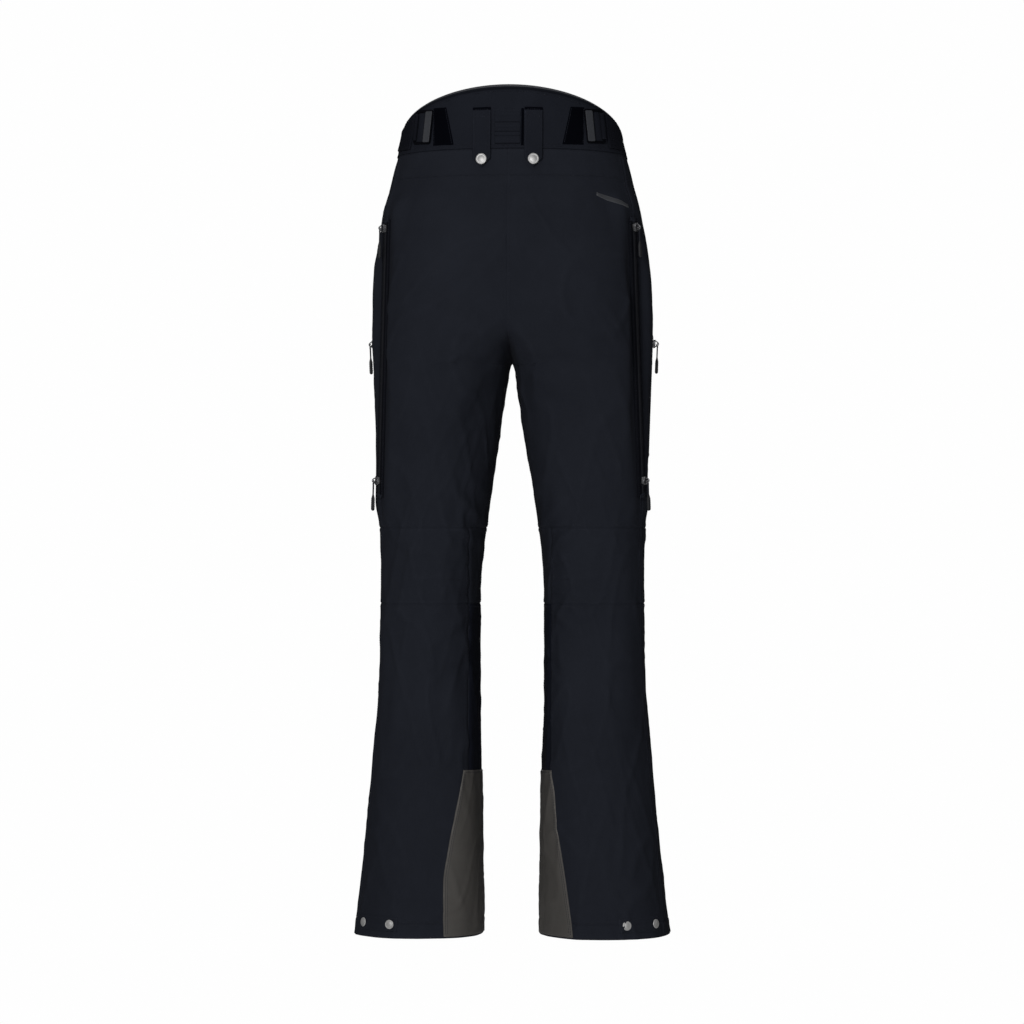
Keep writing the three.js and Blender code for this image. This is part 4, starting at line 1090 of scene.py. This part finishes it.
def back_tabs():
    A, B = trunk_x(TAB_X, TAB_TOP, 1, np.array(0.0)), trunk_x(TAB_X, TAB_LOW, 1, np.array(0.0))
    g = phi_at_x(TAB_X, 1060, 1)
    fl = frame_on(A, B, normal(g, 1060))
    for tag, s in (("left", 1), ("right", -1)):
        f = fl if s > 0 else mirror_frame(fl)
        w, l = TAB_W / 2, f["length"]
        body = "suspender_tab_" + tag
        # strip of doubled cloth, its edges turned in
        nx, nz = 18, 60
        base = LIFT + 0.9 + TAB_T
        V, UV = [], []
        for i in range(nx + 1):
            for j in range(nz + 1):
                z = -l * j / nz
                half = w if z > -l + 12 else max(0.35, w * (z + l) / 12)
                x = (i / nx * 2 - 1) * half
                d = min(half - abs(x), -z + 0.2, (z + l) * 0.7)
                y = base - 0.75 * math.exp(-max(d, 0) / 0.8) - 0.25 * math.exp(-(((half - abs(x)) - 3.2) / 0.8) ** 2) + 0.18 * float(noise(x / 6 + s, z / 9, 0, 70))
                V.append((x, y, z)); UV.append((x, z))
        F = [(i * (nz + 1) + j, (i + 1) * (nz + 1) + j, (i + 1) * (nz + 1) + j + 1, i * (nz + 1) + j + 1) for i in range(nx) for j in range(nz)]
        # painted shadow: the top 4.5 mm of each tab, where it tucks under the band, takes the near-black material
        fm = [1 if (j + 0.5) / nz * l < 4.5 else 0 for i in range(nx) for j in range(nz)]
        o = new_object("back_tab_" + tag, m(local(f, V)), F, ["band", "web_and_shade"], uv=UV, face_mat=fm)
        face_out(o, m([0, 0, 1060]))
        modifiers(o, thick=1.5)
        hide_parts(body)
        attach(o, body)
        cz = -l + 10.8
        c = local(f, [[0, base, cz]])[0]
        snap_cap("back_tab_snap_" + tag, c, f["n"], 7.2, body)
        t = Thread()
        pts = []
        e = w - 3.2
        for a, b in (((-e, -3), (-e, -l + 13)), ((-e, -l + 13), (0, -l + 4)), ((0, -l + 4), (e, -l + 13)), ((e, -l + 13), (e, -3)), ((e, -3), (-e, -3)), ((-e, -3), (e, -13)), ((e, -3), (-e, -13)), ((-e, -13), (e, -13))):
            pts = [(a[0] + (b[0] - a[0]) * q, base - 0.05, a[1] + (b[1] - a[1]) * q) for q in np.linspace(0, 1, 24)]
            P = local(f, pts)
            t.run(P, np.repeat(f["n"][None], len(P), 0), pitch=2.6, length=1.9)
        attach(t.make("back_tab_stitching_" + tag), body)
    # bar of dark webbing that the tabs are caught under
    X, Z = lattice(-17, 17, 1052, 1099, 40, 60)
    L = np.zeros(X.shape)
    for z0, a in ((1092, 0.5), (1076, 1.1), (1066, 0.9), (1057.5, 0.7)):
        L = L + a * np.exp(-((Z - z0) / 2.6) ** 2)
    loop = patch_x("hang_loop_cloth", X, Z, 1, 1.2, 0.9, ["band", "shade_line"], "garment", ["hang_loop_back"], bulge=L)
    # painted shade: thin near-black lines in the hollows between the raised ridges
    for q in loop.data.polygons:
        zz = q.center.z * 1000 + Z0
        q.material_index = 1 if any(abs(zz - c) < 0.75 for c in (1081.6, 1069.2, 1063.2, 1053.4)) else 0
    # painted shadow: a near-black strip in the gap between the right tab and the hang loop, standing in for the shade
    # there
    X, Z = lattice(-21.4, -17.8, 1050, 1100, 8, 50)
    patch_x("tab_gap_painted_shadow", X, Z, 1, 0.7, 0.5, ["web_and_shade"], "garment", edge=0.5)
    t = Thread()
    for z0 in (1096, 1072, 1060, 1055):
        x = np.linspace(-15, 15, 40)
        P = trunk_x(x, np.full_like(x, z0), 1, np.full_like(x, BAND_OUT + 1.25))
        t.run(P, np.repeat(np.array([[0, 1, 0.05]]), len(P), 0), pitch=2.6, length=1.9)
    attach(t.make("hang_loop_stitching"), "garment")


def adjusters():
    zc, xc = 1078.0, 111.5
    p0 = phi_at_x(xc, zc, 1)
    fl = frame_on(point(p0, zc + RING_H / 2), point(p0, zc - RING_H / 2), normal(p0, zc))
    fl["o"] = point(p0, zc)
    q0 = float(phi_at_x(126, 1078, 1))
    for tag, s in (("left", 1), ("right", -1)):
        f = fl if s > 0 else mirror_frame(fl)
        # ring: a wide flat bar toward the back, thin wire on the other three sides, corners rounded
        w, h = RING_W / 2, RING_H / 2

        def rounded(x0, x1, z0, z1, r, n=8):
            pts = []
            for cx, cz, a0 in ((x1 - r, z1 - r, 0), (x0 + r, z1 - r, 90), (x0 + r, z0 + r, 180), (x1 - r, z0 + r, 270)):
                for i in range(n + 1):
                    a = R(a0 + 90 * i / n)
                    pts.append((cx + r * math.cos(a), cz + r * math.sin(a)))
            return pts

        out = rounded(-w, w, -h, h, 3.4)
        hole = rounded(-w + RING_BAR, w - RING_WIRE, -h + RING_WIRE, h - RING_WIRE, 1.6)
        if s < 0:
            out = [(-x, z) for x, z in out]
            hole = [(-x, z) for x, z in hole]
        n = len(out)
        y0, y1 = LIFT + 1.4, LIFT + 1.4 + RING_T
        V = [(x, y, z) for y in (y0, y1) for loop in (out, hole) for x, z in loop]
        F = []
        for i in range(n):
            j = (i + 1) % n
            F.append((i, j, 2 * n + j, 2 * n + i))
            F.append((n + i, n + j, 3 * n + j, 3 * n + i))
            F.append((i, j, n + j, n + i))
            F.append((2 * n + i, 2 * n + j, 3 * n + j, 3 * n + i))
        in_frame("adjuster_ring_body_" + tag, f, V, F, ["buckle"], "adjuster_ring_" + tag, ["adjuster_ring_" + tag], bevel=0.55, angle=50)
        # a raised rib down the wide bar
        x0, x1 = -w + 1.0, -w + RING_BAR - 1.2
        rib = rounded(min(x0, x1), max(x0, x1), -h + 2.2, h - 2.2, 1.6)
        if s < 0:
            rib = [(-x, z) for x, z in rib]
        V, F = prism(rib, y1 - 0.3, y1 + 0.45)
        in_frame("adjuster_rib_" + tag, f, V, F, ["bar"], "adjuster_ring_" + tag, bevel=0.3, angle=50)
        # anchor of webbing
        u, v = np.meshgrid(np.linspace(0, 1, 30), np.linspace(0, 1, 44), indexing="ij")
        X = s * (99.5 - (28 - 10.5 * v) * u)
        Z = 1052 + 51 * v
        patch_x("adjuster_anchor_web_" + tag, X, Z, 1, 1.3, 0.9, ["web_and_shade"], "garment", ["adjuster_anchor_" + tag])
        t = Thread()
        for uu in (0.06, 0.93):
            v1 = np.linspace(0.04, 0.96, 40)
            x = s * (99.5 - (28 - 10.5 * v1) * uu)
            P = trunk_x(x, 1052 + 51 * v1, 1, np.full_like(x, BAND_OUT + 1.3))
            N = trunk_x(x, 1052 + 51 * v1, 1, np.full_like(x, 9.0)) - trunk_x(x, 1052 + 51 * v1, 1, np.full_like(x, 0.0))
            t.run(P, unit(N), pitch=2.6, length=1.9)
        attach(t.make("adjuster_anchor_stitching_" + tag), "garment")
        # strap: hook-and-loop tape folded back on itself, ribbed
        p1 = R(13.5)
        u, v = np.meshgrid(np.linspace(0, 1, 110), np.linspace(0, 1, 34), indexing="ij")
        phi = q0 + (p1 - q0) * u
        top = np.minimum(band_top(phi) - 6, 1099)
        z = 1049.5 + (top - 1049.5) * v
        g = phi if s > 0 else math.pi - phi
        ends = np.minimum(np.minimum(u * 40, (1 - u) * 40), np.minimum(v * 48, (1 - v) * 48))
        lay = LIFT + 0.9 + 1.4 * (1 - np.exp(-(ends / 1.0) ** 1.2)) + 0.42 * np.abs(np.sin(math.pi * u * 40 / 4.4)) * smooth(ends / 2)
        o = grid("adjuster_strap_web_" + tag, trunk(g, z, lay), ["strap"])
        face_out(o, m([0, 0, 1070]))
        modifiers(o, thick=1.2)
        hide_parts("adjuster_strap_" + tag)
        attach(o, "adjuster_strap_" + tag)
        # the turn of the strap round the ring's outer wire
        xw = (w - RING_WIRE / 2) * (1 if s > 0 else -1)
        V, UV = [], []
        nn, hh = 22, 17.5
        for i in range(nn + 1):
            a = R(-95 + 250 * i / nn)
            r = 2.5
            for j in range(21):
                z1 = -hh + 2 * hh * j / 20
                V.append((xw - (1 if s > 0 else -1) * r * math.cos(a) * 1.0, (y0 + y1) / 2 + r * math.sin(a), z1)); UV.append((r * a, z1))
        F = [(i * 21 + j, (i + 1) * 21 + j, (i + 1) * 21 + j + 1, i * 21 + j + 1) for i in range(nn) for j in range(20)]
        o = new_object("adjuster_turn_" + tag, m(local(f, V)), F, ["strap"], uv=UV)
        modifiers(o, thick=0.9, offset=1.0)
        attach(o, "adjuster_ring_" + tag)


def front_pieces():
    zc = float(band_low(-math.pi / 2) + band_top(-math.pi / 2)) / 2
    X, Z = lattice(46, -44, zc - 12, zc + 12, 70, 22)
    patch_x("waist_tab_cloth", X, Z, -1, 1.9, 1.3, ["band"], "waist_closure_tab", ["waist_closure_tab"])
    for i, x in enumerate((-34, -10)):
        p = trunk_x(float(x), zc, -1, np.array(BAND_OUT + 1.85))
        n = unit(trunk_x(float(x), zc, -1, np.array(9.0)) - trunk_x(float(x), zc, -1, np.array(0.0)))
        snap_cap(f"waist_tab_snap_{'ab'[i]}", p, n, 7.2, "waist_closure_tab")
    t = Thread()
    for z0 in (zc - 9, zc + 9):
        x = np.linspace(43, -41, 90)
        P = trunk_x(x, np.full_like(x, z0), -1, np.full_like(x, BAND_OUT + 1.9))
        t.run(P, unit(P - trunk_x(x, np.full_like(x, z0), -1, np.full_like(x, 0.0))), pitch=2.8, length=2.0)
    for x0 in (43, -41):
        z1 = np.linspace(zc - 9, zc + 9, 24)
        x = np.full_like(z1, x0)
        P = trunk_x(x, z1, -1, np.full_like(x, BAND_OUT + 1.9))
        t.run(P, unit(P - trunk_x(x, z1, -1, np.full_like(x, 0.0))), pitch=2.8, length=2.0)
    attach(t.make("waist_tab_stitching"), "waist_closure_tab")
    for tag, s in (("left", 1), ("right", -1)):
        X, Z = lattice(s * 84, s * 97, 1019, 1052, 14, 34)
        patch_x("belt_loop_cloth_" + tag, X, Z, -1, 1.8, 1.0, ["band"], "garment", ["belt_loop_front_" + tag], bulge=0.6 * np.exp(-((Z - 1035) / 9) ** 4))
        t = Thread()
        for z0 in (1022, 1049):
            x = np.linspace(s * 85.5, s * 95.5, 14)
            P = trunk_x(x, np.full_like(x, z0), -1, np.full_like(x, BAND_OUT + 1.85))
            t.run(P, unit(P - trunk_x(x, np.full_like(x, z0), -1, np.full_like(x, 0.0))), pitch=1.6, length=1.3)
        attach(t.make("belt_loop_stitching_" + tag), "garment")
        # pocket bag inside
        u, v = np.meshgrid(np.linspace(0, 1, 26), np.linspace(0, 1, 30), indexing="ij")
        phi, z = np.radians(-74 + 46 * u), 800 + 190 * v
        P = point(phi, z) + normal(phi, z) * (-6.2 + 0.8 * noise(u * 4 + s, v * 5, 0, 80))[..., None]
        o = grid("pocket_bag_cloth_" + tag, P * np.array([s, 1, 1]), ["lining"])
        face_out(o, m([0, 0, 900]))
        modifiers(o, thick=0.8)
        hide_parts("hand_pocket_bag_" + tag)
        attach(o, "garment")
    X, Z = lattice(-22, 22, 890, 1008, 22, 50)
    L = -2.7 + 0.3 * noise(X / 14, Z / 20, 0, 81)
    o = grid("fly_flap_cloth", trunk_x(X, Z, -1, L), ["lining"])
    face_out(o, m([0, 0, 950]))
    modifiers(o, thick=0.9)
    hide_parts("fly_backing_flap")
    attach(o, "garment")


# ------------------------------------------------------------------ zips
def zip_tape(name, f, side_tag, node):
    length = f["length"]
    half = TAPE_W / 2
    xs = [-half, -half + 0.5, -half + 1.4, -9.2, -8.4, -7.6, -4.2, -2.7, -2.3, -1.6, -0.8, -0.35, 0.0, 0.35, 0.8, 1.6, 2.3, 2.7, 4.2, 7.6, 8.4, 9.2, half - 1.4, half - 0.5, half]
    t1 = TAPE_LIFT + TAPE_T

    def top(x):
        a = abs(x)
        y = t1
        if a > half - 1.4:
            y -= 0.9 * ((a - half + 1.4) / 1.4) ** 1.5
        y -= 0.25 * math.exp(-((a - 8.4) / 0.5) ** 2)
        if a < 2.7:
            y += 1.9 * math.sqrt(max(0, 1 - (a / 2.75) ** 2.6))
            y -= 1.1 * math.exp(-((a / 0.42) ** 2))
        return y

    step = 0.55
    n = int(length / step)
    V, UV = [], []
    for j in range(n + 1):
        z = -length * j / n
        tooth = 0.22 * math.sin(2 * math.pi * z / 1.65)
        e = min(-z, z + length)
        round_end = 0.5 * math.exp(-e / 0.8)
        for x in xs:
            a = abs(x)
            y = top(x) - round_end
            if 0.6 < a < 2.6:
                y += tooth * (1 if x > 0 else -1)
            V.append((x, y, z)); UV.append((x, z))
    k = len(xs)
    F = [(j * k + i, (j + 1) * k + i, (j + 1) * k + i + 1, j * k + i + 1) for j in range(n) for i in range(k - 1)]
    fm = [1 if abs((xs[i] + xs[i + 1]) / 2) < 2.6 else 0 for j in range(n) for i in range(k - 1)]
    o = new_object(name, m(local(f, V)), F, ["tape", "coil"], uv=UV, face_mat=fm)
    no = o.data.polygons[0].normal
    if np.array(no) @ f["n"] < 0:
        flip(o)
    modifiers(o, thick=1.0)
    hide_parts(node)
    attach(o, "garment")
    t = Thread()
    for x in (-11.0, -8.4, 8.4, 11.0):
        z = np.linspace(-1.5, -length + 1.5, int(length / 3))
        P = local(f, np.stack([np.full_like(z, x), np.full_like(z, top(x)), z], -1))
        t.run(P, np.repeat(f["n"][None], len(P), 0))
    for z0 in (-2.5, -length + 2.5):
        x = np.linspace(-11, 11, 20)
        P = local(f, np.stack([x, [top(q) for q in x], np.full_like(x, z0)], -1))
        t.run(P, np.repeat(f["n"][None], len(P), 0))
    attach(t.make(name + "_stitching"), "garment")
    # garage: a small hood of cloth over each end of the coil
    for tag, zc, sgn in (("top", 1.5, -1), ("end", -length - 1.5, 1)):
        if name.startswith("hand") and tag == "end":
            continue  # the slider parks on the last tooth here, under a bar of thread alone
        V, UV = [], []
        reach = 7.0
        for i in range(13):
            x = -8 + 16 * i / 12
            for j in range(9):
                q = j / 8
                z = zc + sgn * reach * q * (1 - 0.45 * (abs(x) / 8) ** 2)
                hump = 2.3 * math.exp(-(x / 4.3) ** 2) * smooth(q * reach / 5)
                V.append((x, t1 + 0.25 + hump - 0.4 * math.exp(-min(8 - abs(x), 7 * (1 - q) + 0.3) / 0.6), z)); UV.append((x, z))
        F = [(i * 9 + j, (i + 1) * 9 + j, (i + 1) * 9 + j + 1, i * 9 + j + 1) for i in range(12) for j in range(8)]
        o = new_object(f"{name}_garage_{tag}", m(local(f, V)), F, ["shell"], uv=UV)
        if np.array(o.data.polygons[0].normal) @ f["n"] < 0:
            flip(o)
        modifiers(o, thick=0.5)
        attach(o, "garment")


def slider_and_pull(piece, f, tag, down, turned=False):
    g = dict(f)
    g["o"] = f["o"] - f["up"] * down
    sn, pn = f"{piece}_slider{tag}", f"{piece}_pull{tag}"
    lo, hi = TAPE_LIFT + TAPE_T + 0.5, TAPE_LIFT + TAPE_T + COIL_H + 2.6
    s = -1 if turned else 1
    # top plate with wide shoulders and a narrow tail, flanges down to the tape, a nose between the two channels
    plate = [(-1.6, 6.0), (-4.0, 5.4), (-4.8, 3.6), (-4.8, 1.0), (-3.9, -3.0), (-3.4, -5.2), (-2.4, -6.0), (2.4, -6.0), (3.4, -5.2), (3.9, -3.0), (4.8, 1.0), (4.8, 3.6), (4.0, 5.4), (1.6, 6.0), (0, 4.6)]
    plate = [(x, z * s) for x, z in plate]
    V1, F1 = prism(plate, hi - 1.7, hi)
    parts = [(V1, F1)]
    for sx in (-1, 1):
        fl = [(sx * 3.4, 4.4), (sx * 4.8, 3.6), (sx * 4.8, 1.0), (sx * 3.9, -3.0), (sx * 3.4, -5.2), (sx * 3.05, -5.0), (sx * 3.1, 0)]
        fl = [(x, z * s) for x, z in fl]
        V2, F2 = prism(fl, lo, hi - 1.6)
        parts.append((V2, F2))
    V, F = merge(parts)
    in_frame(sn + "_body", g, V, F, ["slider"], sn, [sn], bevel=0.35, angle=30)
    # bridge that the pull hangs from
    path = [(0, hi - 0.6, 4.2 * s), (0, hi + 1.2, 4.0 * s), (0, BRIDGE - 0.9, 2.9 * s), (0, BRIDGE + 1.35, 1.1 * s), (0, BRIDGE + 1.5, -0.6 * s), (0, BRIDGE + 0.2, -2.7 * s), (0, hi + 1.0, -3.7 * s), (0, hi - 0.6, -3.9 * s)]
    P = np.array(path)
    tt = np.linspace(0, len(P) - 1, 40)
    P = np.stack([np.interp(tt, np.arange(len(P)), P[:, i]) for i in range(3)], -1)
    for _ in range(3):
        P[1:-1] = (P[:-2] + 2 * P[1:-1] + P[2:]) / 4
    V, F, _ = tube(P, 0.75, seg=10)
    V = [(v[0] * 1.9, v[1], v[2]) for v in V]
    in_frame(sn + "_bridge", g, V, F, ["slider"], sn)
    # pull: wire eye, a doubled cord and a moulded grip
    eye = torus((0, BRIDGE - 0.9, -0.9), (0, 0.64, 0.77), (1, 0, 0), 2.2, 0.55)
    in_frame(pn + "_eye", g, eye[0], eye[1], ["slider"], pn, [pn])
    parts, UVs = [], []
    for sx in (-1, 1):
        path = [(0, BRIDGE - 0.2, -2.3), (sx * 0.75, BRIDGE + 0.35, -3.6), (sx * 0.9, BRIDGE, -6), (sx * 0.85, BRIDGE, -11), (sx * 0.8, BRIDGE, -18.6)]
        P = np.array(path)
        tt = np.linspace(0, len(P) - 1, 26)
        P = np.stack([np.interp(tt, np.arange(len(P)), P[:, i]) for i in range(3)], -1)
        for _ in range(2):
            P[1:-1] = (P[:-2] + 2 * P[1:-1] + P[2:]) / 4
        V, F, UV = tube(P, 0.82, seg=10)
        parts.append((V, F)); UVs += UV
    V, F = merge(parts)
    in_frame(pn + "_cord", g, V, F, ["cord"], pn, uv=UVs)
    # grip: rounded, waisted, with finger ribs
    n, k = 44, 28
    V, F = [], []
    top, L = -17.0, 23.5
    for j in range(n + 1):
        q = j / n
        z = top - L * q
        wx = 1.35 + 1.95 * smooth(q / 0.35)
        wx *= math.sqrt(max(0.0, 1 - max(0, (q - 0.86) / 0.14) ** 2.4)) if q > 0.86 else 1
        wy = wx * 0.62 if q < 0.9 else max(0.02, wx * 0.62)
        rib = 0.16 * math.sin(2 * math.pi * (z - top) / 2.6) * smooth((q - 0.25) / 0.1) * smooth((0.85 - q) / 0.1)
        for i in range(k):
            t = 2 * math.pi * i / k
            c, d = math.cos(t), math.sin(t)
            rr = (abs(c) ** 2.8 + abs(d) ** 2.8) ** (-1 / 2.8)
            V.append((c * rr * (max(wx, 0.02) + rib * 0.5), BRIDGE + d * rr * (wy + rib), z))
    for j in range(n):
        for i in range(k):
            i2 = (i + 1) % k
            F.append((j * k + i, j * k + i2, (j + 1) * k + i2, (j + 1) * k + i))
    F.append(tuple(range(k))[::-1])
    F.append(tuple(n * k + i for i in range(k)))
    in_frame(pn + "_grip", g, V, F, ["grip"], pn)


def all_zips():
    zf = {name: frame_on(k["A"], k["B"], k["n"]) for name, k in ZL.items()}
    for tag, s in (("_left", 1), ("_right", -1)):
        pick = (lambda f: f) if s > 0 else mirror_frame
        v = pick(zf["vent"])
        zip_tape("side_vent_tape" + tag, v, tag, "side_vent_zip" + tag)
        slider_and_pull("vent_top", v, tag, 12)
        slider_and_pull("vent_bottom", v, tag, v["length"] - 22, turned=True)
        v = pick(zf["thigh"])
        zip_tape("thigh_pocket_tape" + tag, v, tag, "thigh_pocket_zip" + tag)
        slider_and_pull("thigh", v, tag, 12)
        v = pick(zf["hand"])
        zip_tape("hand_pocket_tape" + tag, v, tag, "hand_pocket_zip" + tag)
        slider_and_pull("hand", v, tag, 12)
    zip_tape("fly_tape", zf["fly"], "", "fly_zip")
    slider_and_pull("fly", zf["fly"], "", 10)


def hip_strip():
    """A plain reflective strip at the wearer's right hip."""
    n, k = 40, 12
    u, v = np.meshgrid(np.linspace(0, 1, n), np.linspace(0, 1, k), indexing="ij")
    x = 117 + 36 * u
    z = 987 - 15 * u + (4.2 + 2.2 * np.sin(math.pi * u)) * (v - 0.5)
    overlay("hip_reflective_strip", phi_at_x(x, z, 1), z, -1, 0.5, 0.3, ["strip"], "garment", edge=0.5)


for side in (1, -1):
    shell(side)
    leg_stitching(side)
    guards(side)
    hem_snaps(side)
    snow_cuff(side)
waistband()
back_tabs()
adjusters()
front_pieces()
all_zips()
hip_strip()

# ------------------------------------------------------------------ floor, light, camera
FLOOR = m([0, 0, -1650])[2]
bm = bmesh.new()
bmesh.ops.create_circle(bm, cap_ends=True, cap_tris=False, segments=96, radius=7.5)
me = bpy.data.meshes.new("floor")
bm.to_mesh(me)
bm.free()
floor = bpy.data.objects.new("floor", me)
floor.location = (0, 0, FLOOR)
SC.collection.objects.link(floor)
mat, nt, b = nodes_of("floor_paint")
b.inputs["Base Color"].default_value = (0.90, 0.90, 0.905, 1)
b.inputs["Roughness"].default_value = 0.9
b.inputs["Specular IOR Level"].default_value = 0.1
# seen directly, the floor is as pale as the studio behind it
glow = nt.nodes.new("ShaderNodeEmission")
glow.inputs["Color"].default_value = (0.93, 0.93, 0.935, 1)
both = nt.nodes.new("ShaderNodeMixShader")
path = nt.nodes.new("ShaderNodeLightPath")
surface = next(n for n in nt.nodes if n.type == "OUTPUT_MATERIAL")
nt.links.new(path.outputs["Is Camera Ray"], both.inputs[0])
nt.links.new(b.outputs[0], both.inputs[1])
nt.links.new(glow.outputs[0], both.inputs[2])
nt.links.new(both.outputs[0], surface.inputs[0])
me.materials.append(mat)

# a white studio: what the lens sees is white, what lights the cloth is softer
world = bpy.data.worlds.new("studio")
SC.world = world
world.use_nodes = True
nt = world.node_tree
nt.nodes.clear()
seen = nt.nodes.new("ShaderNodeBackground")
lit = nt.nodes.new("ShaderNodeBackground")
mix = nt.nodes.new("ShaderNodeMixShader")
ray = nt.nodes.new("ShaderNodeLightPath")
out = nt.nodes.new("ShaderNodeOutputWorld")
seen.inputs[0].default_value = (0.992, 0.992, 0.992, 1)
lit.inputs[0].default_value = (0.028, 0.029, 0.033, 1)
nt.links.new(ray.outputs["Is Camera Ray"], mix.inputs[0])
nt.links.new(lit.outputs[0], mix.inputs[1])
nt.links.new(seen.outputs[0], mix.inputs[2])
nt.links.new(mix.outputs[0], out.inputs[0])


def area(name, loc, target, size, power):
    l = bpy.data.lights.new(name, "AREA")
    l.shape, l.size, l.size_y, l.energy = "RECTANGLE", size[0], size[1], power
    o = bpy.data.objects.new(name, l)
    o.location = loc
    o.rotation_euler = (Vector(target) - Vector(loc)).to_track_quat("-Z", "Y").to_euler()
    SC.collection.objects.link(o)


area("key", (1.0, 4.7, 1.0), (0, 0, -0.5), (0.9, 1.1), 160)
area("fill", (-0.35, 4.9, -0.3), (0, 0, -0.5), (0.9, 1.1), 82)
area("front_key", (0.15, -4.9, 0.5), (0, 0, -0.5), (1.2, 1.4), 190)
area("left", (4.9, -0.5, 0.8), (0, 0, -0.5), (1.2, 1.4), 18)
area("right", (-4.9, -0.5, 0.8), (0, 0, -0.5), (1.2, 1.4), 16)
area("top", (0, 0.6, 3.2), (0, 0, -0.5), (2.0, 2.0), 40)

cam = bpy.data.cameras.new("camera")
camera = bpy.data.objects.new("camera", cam)
SC.collection.objects.link(camera)
D, az = 5.0, R(3.3)
eye = Vector((-math.sin(az) * D, math.cos(az) * D, m([0, 0, 566])[2]))
camera.location = eye
camera.rotation_euler = (Vector((0, 0, m([0, 0, 566])[2])) - eye).to_track_quat("-Z", "Y").to_euler()
cam.sensor_width = 36
cam.lens = 36 * D / (1.024 * 1.35)
cam.shift_x = -0.2 / 1024
cam.clip_end = 200
SC.camera = camera
SC.view_settings.view_transform = "Standard"
